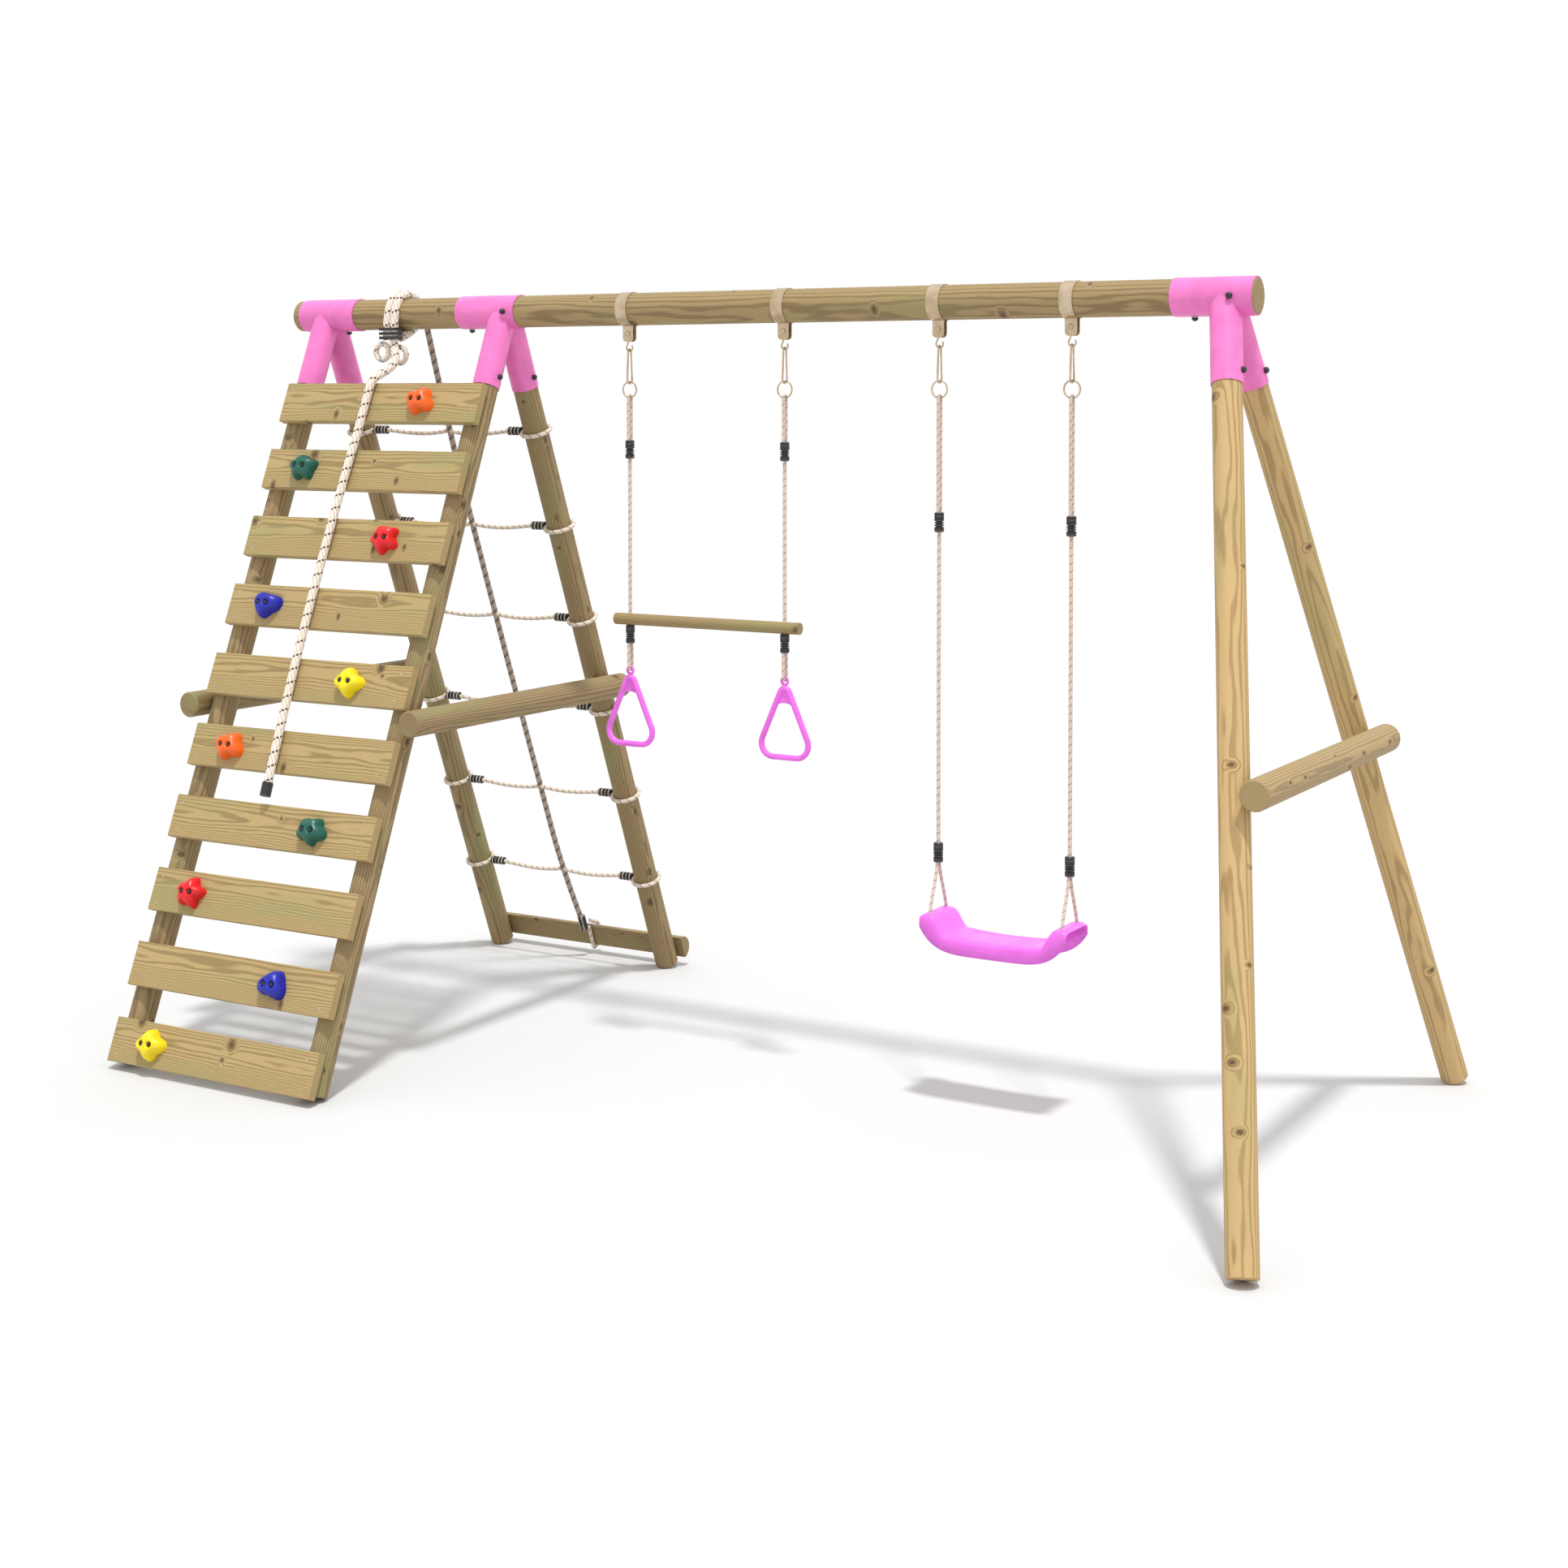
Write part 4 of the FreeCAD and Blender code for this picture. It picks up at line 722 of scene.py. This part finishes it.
@dataclass
class TimberFrame:
    """Beam, legs, braces, rail and boards, with brackets and fixings."""

    finishes: Finishes
    lean: float = 0.396
    board_count: int = 10

    def middle(self, node: str) -> np.ndarray:
        """Middle of a modelled piece's box."""
        low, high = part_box(node)
        return (np.array(low) + np.array(high)) / 2

    def grain(self) -> Dict[str, Vector]:
        """Direction of the grain of each round piece, by node."""
        along, across, down = Vector((1, 0, 0)), Vector((0, 1, 0)), -APEX_HEIGHT
        wall, net = (Vector((0, side * LEG_SPREAD, down)) for side in (-1, 1))
        return {
            "top_beam": along, "ground_rail": along, "trapeze_bar": along,
            "brace_left": across, "brace_middle": across, "brace_right": across,
            "wall_leg_left": wall, "wall_leg_right": wall,
            "net_leg_left": net, "net_leg_right": net,
            "end_leg_front": Vector((self.lean, -LEG_SPREAD, down)),
            "end_leg_back": Vector((self.lean, LEG_SPREAD, down)),
        }

    def dress(self) -> None:
        """Finish every modelled timber, bracket and fixing."""
        # The beam, the trapeze bar and the right brace take darker copies of the timber as painted
        # shade.
        woods = {"end_leg_front": PALE_WOOD, "end_leg_back": PALE_WOOD,
                 "brace_right": SHADED_BRACE_WOOD, "top_beam": SHADED_WOOD, "trapeze_bar": SHADED_WOOD}
        for seed, (node, direction) in enumerate(self.grain().items()):
            wood = woods.get(node, POLE_WOOD)
            material = wood.material(f"timber_{node}", self.middle(node),
                                     direction.normalized(), seed + 2)
            self.finishes.dress(node, material)
        for number in range(1, self.board_count + 1):
            node = f"wall_board_{number:02d}"
            roll = math.pi - math.atan2(LEG_SPREAD, APEX_HEIGHT) + 0.2 * math.sin(5.0 * number)
            material = BOARD_WOOD.material(f"timber_{node}", self.middle(node),
                                           Vector((1, 0, 0)), 20 + number, roll)
            self.finishes.dress(node, material)
        look = self.finishes
        hung = ("carabiners", "rings", "gate_left", "gate_right")
        fittings = (
            (look.pink_steel, ["left_bracket", "middle_bracket", "right_bracket"]),
            (look.black, ["bolt_caps", "hold_bolts", "climbing_rope_bands",
                          "climbing_rope_end_cap"]),
            (look.net_clip, ["net_clips"]),
            (look.line_clip, ["trapeze_clips", "swing_clips"]),
            (look.gold, ["board_screws", "hanger_straps", "hanger_bolts", "hanger_hooks"]),
            (look.gold, [f"{body}_{part}" for body in ("trapeze", "swing") for part in hung]),
            (look.pink_plastic, ["ring_handle_left", "ring_handle_right"]),
        )
        for material, nodes in fittings:
            for node in nodes:
                look.dress(node, material)


def settle(surfaces: Iterable[Surface], name: str, material: bpy.types.Material, node: str,
           body: str = "frame") -> bpy.types.Object:
    """Build one piece, let it ride on a body and stand for a modelled piece.

    Args:
        surfaces: what the piece is made of.
        name: the piece's name.
        material: its finish.
        node: the modelled piece that it stands for.
        body: the body that carries it.

    Returns:
        The piece.
    """
    piece = joined_surfaces(surfaces).build(name, material)
    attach(piece, body)
    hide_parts(node)
    log.info("built %s", piece.name)
    return piece


@dataclass(frozen=True)
class HoldShape:
    """Outline of one colour's hold: lobes, their depth, a stretch and a turn in degrees."""

    lobes: int
    depth: float
    stretch: float
    turn: float


@dataclass
class ClimbingHolds:
    """Moulded hand holds on the boards, two of each colour.

    The outline at angle a is R (1 - depth cos(n (a - turn)) + stretch cos 2a) and
    the skin above share t of it is H (1 - t^4)^0.62, with a flat-bottomed round
    dimple over each of the two bolts and a low swell between the lobes.
    """

    finishes: Finishes
    radius: float = 0.0435
    height: float = 0.0425
    bolt_offset: float = 0.016
    dimple_depth: float = 0.0125
    dimple_radius: float = 0.0088
    right_x: float = -1.003
    left_x: float = -1.411
    first_board: float = 0.3555
    board_pitch: float = 0.2305
    shapes: dict = field(default_factory=lambda: {
        "hold_orange": HoldShape(4, 0.17, 0.12, 20), "hold_green": HoldShape(5, 0.15, 0.14, 60),
        "hold_red": HoldShape(5, 0.19, 0.04, 10), "hold_blue": HoldShape(3, 0.17, 0.13, 75),
        "hold_yellow": HoldShape(4, 0.18, 0.08, 50)})

    def surface(self, shape: HoldShape) -> Surface:
        """One hold about its own middle, its back at height zero."""
        rings, steps = 40, 96
        angle = np.linspace(0, 2 * np.pi, steps, endpoint=False)[None, :]
        share = np.linspace(0.0, 1.0, rings)[:, None] ** 0.75
        turned = angle - math.radians(shape.turn)
        edge = self.radius * (1 - shape.depth * np.cos(shape.lobes * turned)
                              + shape.stretch * np.cos(2 * angle))
        softened = self.radius + (edge - self.radius) * share ** 0.8
        reach = softened * share
        x, y = reach * np.cos(angle), reach * np.sin(angle)
        dome = self.height * np.maximum(1 - share ** 4, 0) ** 0.62
        swell = 1 + 0.06 * np.cos(shape.lobes * turned + 0.8) * share ** 2
        z = np.minimum(dome * swell, self.height + 0.001)
        for side in (-1, 1):
            distance = (x - side * self.bolt_offset) ** 2 + y ** 2
            z = z - self.dimple_depth * np.exp(-(distance / self.dimple_radius ** 2) ** 2)
        points = np.stack([x, y, z], axis=-1).reshape(-1, 3)
        return Surface(points, grid_faces(rings, steps, wrap=True)[:, ::-1])

    def build(self) -> None:
        """Make each colour's pair and let it stand for the modelled one."""
        basis = np.array([[1, 0, 0], -DOWN * FRONT, OUT * FRONT])
        for index, (node, shape) in enumerate(self.shapes.items()):
            pair = []
            for turn, board in ((0, index), (math.pi, index + 5)):
                x = self.right_x if board % 2 == 0 else self.left_x
                middle = sloping(Side.WALL, x, self.first_board + board * self.board_pitch,
                                 WALL_FACE)
                spin = np.array([[math.cos(turn), math.sin(turn), 0],
                                 [-math.sin(turn), math.cos(turn), 0], [0, 0, 1]])
                pair.append(self.surface(shape).placed(middle, spin @ basis))
            finish = Moulded(colour=HOLD_COLOURS[node], roughness=0.36, coat=0.0)
            settle(pair, f"{node}_pair", finish.material(f"{node}_skin"), node)


@dataclass
class ClimbingRope:
    """Free rope down the wall, and the hitch that ties it to the beam."""

    finishes: Finishes
    diameter: float = 0.028
    strand_x: Tuple[float, float] = (-1.252, -1.2235)
    length: float = 1.522

    def route(self) -> List[np.ndarray]:
        """Control points of the hanging rope."""
        return [
            centred(self.strand_x[1], -0.064, 2.2137),
            centred(self.strand_x[1], -0.0643, 2.190),
            centred(-1.203, -0.078, 2.162),
            centred(-1.194, -0.104, 2.130),
            centred(-1.203, -0.142, 2.108),
            sloping(Side.WALL, -1.211, 0.287, ROPE_FACE + 0.009),
            sloping(Side.WALL, -1.216, 0.352, ROPE_FACE + 0.0015),
            sloping(Side.WALL, -1.220, 0.470, ROPE_FACE + 0.001),
            sloping(Side.WALL, -1.227, 0.690, ROPE_FACE + 0.0015),
            sloping(Side.WALL, -1.232, 0.985, ROPE_FACE + 0.001),
            sloping(Side.WALL, -1.228, 1.320, ROPE_FACE + 0.0015),
            sloping(Side.WALL, -1.212, 1.610, ROPE_FACE + 0.004),
        ]

    def build(self) -> None:
        """Make the free rope and its hitch."""
        rope = Rope(self.diameter, pitch=CLIMBING_BRAID.pitch)
        path = spline_path(self.route())
        piece = settle([rope.surface(path, (1, 0, 0))], "hanging_rope", self.finishes.climbing,
                       "climbing_rope")
        wrap = BEAM_RADIUS + self.diameter / 2 + 0.0003
        parts = []
        for x in self.strand_x:
            around = spline_path([
                centred(x, -wrap, BEAM_HEIGHT - 0.086), centred(x, -wrap, BEAM_HEIGHT + wrap),
                centred(x, wrap, BEAM_HEIGHT + wrap), centred(x, wrap + 0.002, BEAM_HEIGHT - 0.05),
                centred(x, -0.032, BEAM_HEIGHT - 0.077)])
            parts.append(rope.surface(around, (1, 0, 0)))
        loop = Rope(0.018, pitch=0.11)
        for centre in (centred(-1.270, -0.066, 2.176), centred(-1.227, -0.030, 2.166)):
            ring = circle_path(centre, 0.026, (1, 0, 0), (0, 0, 1))
            parts.append(loop.surface(ring, (0, 1, 0), closed=True))
        settle(parts, "rope_hitch", self.finishes.climbing, "climbing_rope_hitch")


@dataclass
class RopeNet:
    """Centre rope, sagging rungs, loops round the legs and the tie at the rail."""

    finishes: Finishes
    rung_diameter: float = 0.014
    centre_diameter: float = 0.020
    first_rung: float = 0.430
    rung_pitch: float = 0.3406
    rungs: int = 6
    loop_radius: float = 0.0473
    centre_x: float = -1.184
    sag: float = 0.013
    rail: float = 2.440

    def rung_route(self, down: float) -> List[np.ndarray]:
        """Control points of one rung, sagging on both sides of the middle."""
        reach = POLE_RADIUS + self.rung_diameter + 0.0015 + CLIP_LENGTH
        ends = (LEFT_FRAME_X + reach, MIDDLE_FRAME_X - reach)
        shares = ((0, 0), (0.3, 0.8), (0.62, 1), (0.88, 0.55))
        left, right = ([sloping(Side.NET, end + share * (self.centre_x - end),
                                down + self.sag * drop, 0) for share, drop in shares]
                       for end in ends)
        return left + [sloping(Side.NET, self.centre_x, down, 0)] + right[::-1]

    def build(self) -> None:
        """Make the net's ropes."""
        rope = Rope(self.rung_diameter, pitch=NET_BRAID.pitch, around=16)
        downs = [self.first_rung + index * self.rung_pitch for index in range(self.rungs)]
        rungs = [rope.surface(spline_path(self.rung_route(down)), (0, 1, 0)) for down in downs]
        settle(rungs, "net_rungs", self.finishes.net, "net_rung_ropes")
        loops = []
        for down in downs:
            for x in (LEFT_FRAME_X, MIDDLE_FRAME_X):
                ring = circle_path(sloping(Side.NET, x, down, 0), self.loop_radius,
                                   (1, 0, 0), OUT)
                loops.append(rope.surface(ring, DOWN, closed=True))
        settle(loops, "net_loops", self.finishes.net, "net_leg_loops")
        x, last = self.centre_x, self.rail - 0.106
        centre = spline_path([
            sloping(Side.NET, x + 0.026, 0.067, 0), sloping(Side.NET, x + 0.004, 0.430, 0.002),
            sloping(Side.NET, x, 1.110, 0), sloping(Side.NET, x - 0.001, 1.790, 0.002),
            sloping(Side.NET, x + 0.002, 2.130, 0), sloping(Side.NET, x + 0.024, last, 0.004)])
        thick = Rope(self.centre_diameter, pitch=GREY_BRAID.pitch, around=20)
        settle([thick.surface(centre, (1, 0, 0))], "net_centre", self.finishes.grey,
               "net_centre_rope")
        x += 0.026
        gap = self.rung_diameter / 2 + 0.001
        front, back = POLE_RADIUS - gap, 2 * POLE_RADIUS + gap
        corner = self.rail + POLE_RADIUS + 0.001 + gap
        tie = spline_path(with_corners([
            sloping(Side.NET, x, self.rail - 0.042, front),
            sloping(Side.NET, x, corner, front - 0.0005),
            sloping(Side.NET, x, corner, front + 0.029),
            sloping(Side.NET, x, self.rail + 0.020, back + 0.0005),
            sloping(Side.NET, x, self.rail - 0.025, back),
            sloping(Side.NET, x, self.rail - 0.060, front + 0.014)], 0.010))
        settle([rope.surface(tie, (1, 0, 0))], "net_tie", self.finishes.net, "net_rail_tie")


@dataclass
class Suspension:
    """Ropes of one hanging set: doubled over a ring, then single to the bar or seat."""

    finishes: Finishes
    body: str
    node: str
    lines: Tuple[float, float]
    upper_top: float
    lower_top: float
    double: float = 0.010
    single: float = 0.012
    wire_bend: float = 0.0078

    def hairpin(self, x: float, radius: float, bend: float, end: float,
                spread: float) -> np.ndarray:
        """Half circle round a wire, with both strands running on to one height.

        Args:
            x: place of the line along the beam.
            radius: radius of the bend.
            bend: height of its middle.
            end: height where the strands end.
            spread: their distance from the middle there.

        Returns:
            Points along the rope.
        """
        sign = 1 if bend > end else -1
        angle = np.linspace(0, np.pi, 24)
        arc = np.stack([np.full(24, x), -radius * np.cos(angle),
                        bend + sign * radius * np.sin(angle)], axis=1)
        return np.concatenate([[[x, -spread, end]], arc, [[x, spread, end]]]) + SHIFT

    def build(self) -> None:
        """Make both lines of ropes as one piece."""
        double = Rope(self.double, pitch=0.06, around=16)
        single = Rope(self.single, pitch=SWING_BRAID.pitch, around=16)
        parts = []
        for x in self.lines:
            parts.append(double.surface(self.hairpin(x, self.wire_bend, RING_BOTTOM,
                                                     self.upper_top, self.wire_bend), (1, 0, 0)))
            line = np.array([centred(x, 0, self.upper_top - CLIP_LENGTH),
                             centred(x, 0, self.lower_top)])
            parts.append(single.surface(line, (1, 0, 0)))
            parts += self.lower_ropes(x, double)
        settle(parts, f"{self.body}_braids", self.finishes.swing, self.node, self.body)

    def lower_ropes(self, x: float, rope: Rope) -> List[Surface]:
        """Ropes below the lower clip."""
        raise NotImplementedError


@dataclass
class TrapezeRopes(Suspension):
    """Trapeze: the lower ropes are doubled through the eyes of the ring handles."""

    eye: float = 1.194
    eye_bend: float = 0.0093
    clip_spread: float = 0.0083

    def lower_ropes(self, x: float, rope: Rope) -> List[Surface]:
        """One rope doubled under the eye of a handle."""
        bottom = self.lower_top - CLIP_LENGTH
        bend = self.hairpin(x, self.eye_bend, self.eye, bottom, self.clip_spread)
        return [rope.surface(bend, (1, 0, 0))]


@dataclass
class SwingRopes(Suspension):
    """Swing: two strands spread from the lower clip to the front and back of the seat."""

    spread: float = 0.053
    seat: float = 0.447

    def lower_ropes(self, x: float, rope: Rope) -> List[Surface]:
        """Front and back strands down to the seat."""
        bottom = self.lower_top - CLIP_LENGTH
        strands = []
        for side in (-1, 1):
            route = spline_path([
                centred(x, side * 0.006, bottom), centred(x, side * 0.007, bottom - 0.022),
                centred(x, side * (self.spread - 0.0015), self.seat + 0.120),
                centred(x, side * self.spread, self.seat + 0.096)])
            strands.append(rope.surface(route, (1, 0, 0)))
        return strands


@dataclass
class SwingSeat:
    """Moulded seat: a sagging shell with raised ends and a skirt all round.

    Along x the upper line is a shallow parabola that a smooth step lifts by the
    ridge near each end, and the lower line rises as (x / half)^5.  Across, the
    skin follows y = -D/2 sgn(cos v) |cos v|^p and z = low + (high - low)
    |sin v|^p with a small power p, which gives a flat top and rounded edges; a
    second, smaller copy of the same curve is the inside of the shell.
    """

    finishes: Finishes
    middle_x: float = 0.930
    half: float = 0.228
    depth: float = 0.160
    base: float = 0.447
    wall: float = 0.005
    middle_height: float = 0.043
    bow: float = 0.020
    ridge: float = 0.048
    ridge_start: float = 0.63
    ridge_length: float = 0.20
    end_start: float = 0.90
    end_drop: float = 0.012
    rim_rise: float = 0.070
    edge_power: float = 0.22
    rib_depth: float = 0.0012
    rib_pitch: float = 0.011

    def upper(self, x: np.ndarray) -> np.ndarray:
        """Height of the sitting surface."""
        reach = np.abs(x) / self.half
        step = np.clip((reach - self.ridge_start) / self.ridge_length, 0, 1)
        step = step * step * (3 - 2 * step)
        roll = np.clip((reach - self.end_start) / (1 - self.end_start), 0, 1) ** 2
        return (self.base + self.middle_height + self.bow * reach ** 2 + self.ridge * step
                - self.end_drop * roll)

    def lower(self, x: np.ndarray) -> np.ndarray:
        """Height of the skirt's lower rim."""
        return self.base + self.rim_rise * (np.abs(x) / self.half) ** 5

    def skin(self, x: np.ndarray, inset: float) -> np.ndarray:
        """One skin of the shell, inset from the outside."""
        v = np.linspace(0, np.pi, 72)[None, :]
        reach = np.abs(x)[:, None] / self.half
        plan = 1 - 0.06 * np.clip((reach - 0.80) / 0.20, 0, 1) ** 2
        width = (self.depth / 2 - inset) * plan
        cosine, sine = np.cos(v), np.sin(v)
        y = -width * np.sign(cosine) * np.abs(cosine) ** self.edge_power
        low, high = self.lower(x)[:, None], self.upper(x)[:, None] - inset
        z = low + (high - low) * np.clip(sine, 0, 1) ** self.edge_power
        if inset == 0:
            seat = np.clip((0.58 - reach) / 0.06, 0, 1) * np.clip((np.abs(sine) - 0.6) / 0.1, 0, 1)
            ribs = 0.5 + 0.5 * np.cos(2 * np.pi * y / self.rib_pitch)
            z = z - self.rib_depth * seat * ribs
        return np.stack([np.broadcast_to(x[:, None], z.shape), y, z], axis=-1)

    def build(self) -> None:
        """Make the shell: outer skin, inner skin and the rim that joins them."""
        x = self.half * np.sin(np.linspace(-np.pi / 2, np.pi / 2, 160))
        outer, inner = self.skin(x, 0.0), self.skin(x * 0.975, self.wall)
        sheet = np.concatenate([outer, inner[:, ::-1]], axis=1)
        rows, columns = sheet.shape[:2]
        faces = grid_faces(rows, columns, wrap=True)
        half = columns // 2
        index = np.arange(half - 1)
        ends = []
        for row, flip in ((0, False), (rows - 1, True)):
            start = row * columns
            quads = np.stack([start + index, start + columns - 1 - index,
                              start + columns - 2 - index, start + index + 1], axis=1)
            ends.append(quads[:, ::-1] if flip else quads)
        faces = np.concatenate([faces, *ends])
        points = sheet.reshape(-1, 3) + centred(self.middle_x, 0, 0)
        settle([Surface(points, faces[:, ::-1])], "swing_seat_shell",
               self.finishes.pink_plastic, "swing_seat", "swing")


# Studio

@dataclass
class Studio:
    """White floor and surround, a high sun with a soft edge, and the camera."""

    sun_direction: Point = (-0.189, 0.204, -1.0)
    sun_strength: float = 2.4
    sky_strength: float = 1.0
    floor_size: float = 60.0
    camera_place: Point = (3.7569, -6.0436, 2.0403)
    yaw: float = -0.5308
    pitch: float = -0.0396
    lens: float = 54.13
    shift_y: float = -0.1894

    def floor(self) -> None:
        """Plain pale floor at ground level."""
        half = self.floor_size / 2
        corners = np.array([[-half, -half, 0], [half, -half, 0], [half, half, 0],
                            [-half, half, 0]], float)
        nodes = Nodes("studio_floor")
        mottle = nodes.noise(nodes.object_space((0, 0, 0)), 0.6, 2.0)
        colour = nodes.mix(mottle, (0.585, 0.585, 0.585), (0.605, 0.605, 0.605))
        material = nodes.finish(colour, 0.9)
        piece = Surface(corners, np.array([[0, 1, 2, 3]])).build("studio_floor", material)

    def light(self) -> None:
        """Sun and an even white surround."""
        sun = bpy.data.lights.new("sun", "SUN")
        sun.energy = self.sun_strength
        sun.angle = math.radians(5)
        lamp = bpy.data.objects.new("sun", sun)
        lamp.rotation_euler = Vector(self.sun_direction).to_track_quat("-Z", "Y").to_euler()
        bpy.context.scene.collection.objects.link(lamp)
        world = bpy.data.worlds.new("surround")
        world.use_nodes = True
        background = world.node_tree.nodes["Background"]
        background.inputs["Color"].default_value = (1.0, 1.0, 1.0, 1.0)
        background.inputs["Strength"].default_value = self.sky_strength
        bpy.context.scene.world = world
        bpy.context.scene.view_settings.view_transform = "Standard"

    def camera(self) -> None:
        """Camera in front and to the right of the set."""
        data = bpy.data.cameras.new("camera")
        data.sensor_width = 36
        data.lens = self.lens
        data.shift_y = self.shift_y
        data.clip_end = 200
        camera = bpy.data.objects.new("camera", data)
        camera.location = Vector(self.camera_place) + Vector(SHIFT)
        forward = Vector((math.sin(self.yaw) * math.cos(self.pitch),
                          math.cos(self.yaw) * math.cos(self.pitch), math.sin(self.pitch)))
        camera.rotation_euler = forward.to_track_quat("-Z", "Y").to_euler()
        bpy.context.scene.collection.objects.link(camera)
        bpy.context.scene.camera = camera

    def build(self) -> None:
        """Make the whole studio."""
        self.camera()
        self.light()
        self.floor()


def main() -> None:
    """Build the set, piece by piece."""
    Studio().build()
    finishes = Finishes()
    TimberFrame(finishes).dress()
    ClimbingRope(finishes).build()
    RopeNet(finishes).build()
    ClimbingHolds(finishes).build()
    TrapezeRopes(finishes, "trapeze", "trapeze_ropes", (-0.343, 0.212), 1.896, 1.3237).build()
    SwingRopes(finishes, "swing", "swing_ropes", (0.725, 1.135), 1.700, 0.748).build()
    SwingSeat(finishes).build()


if __name__ == "__main__":
    main()
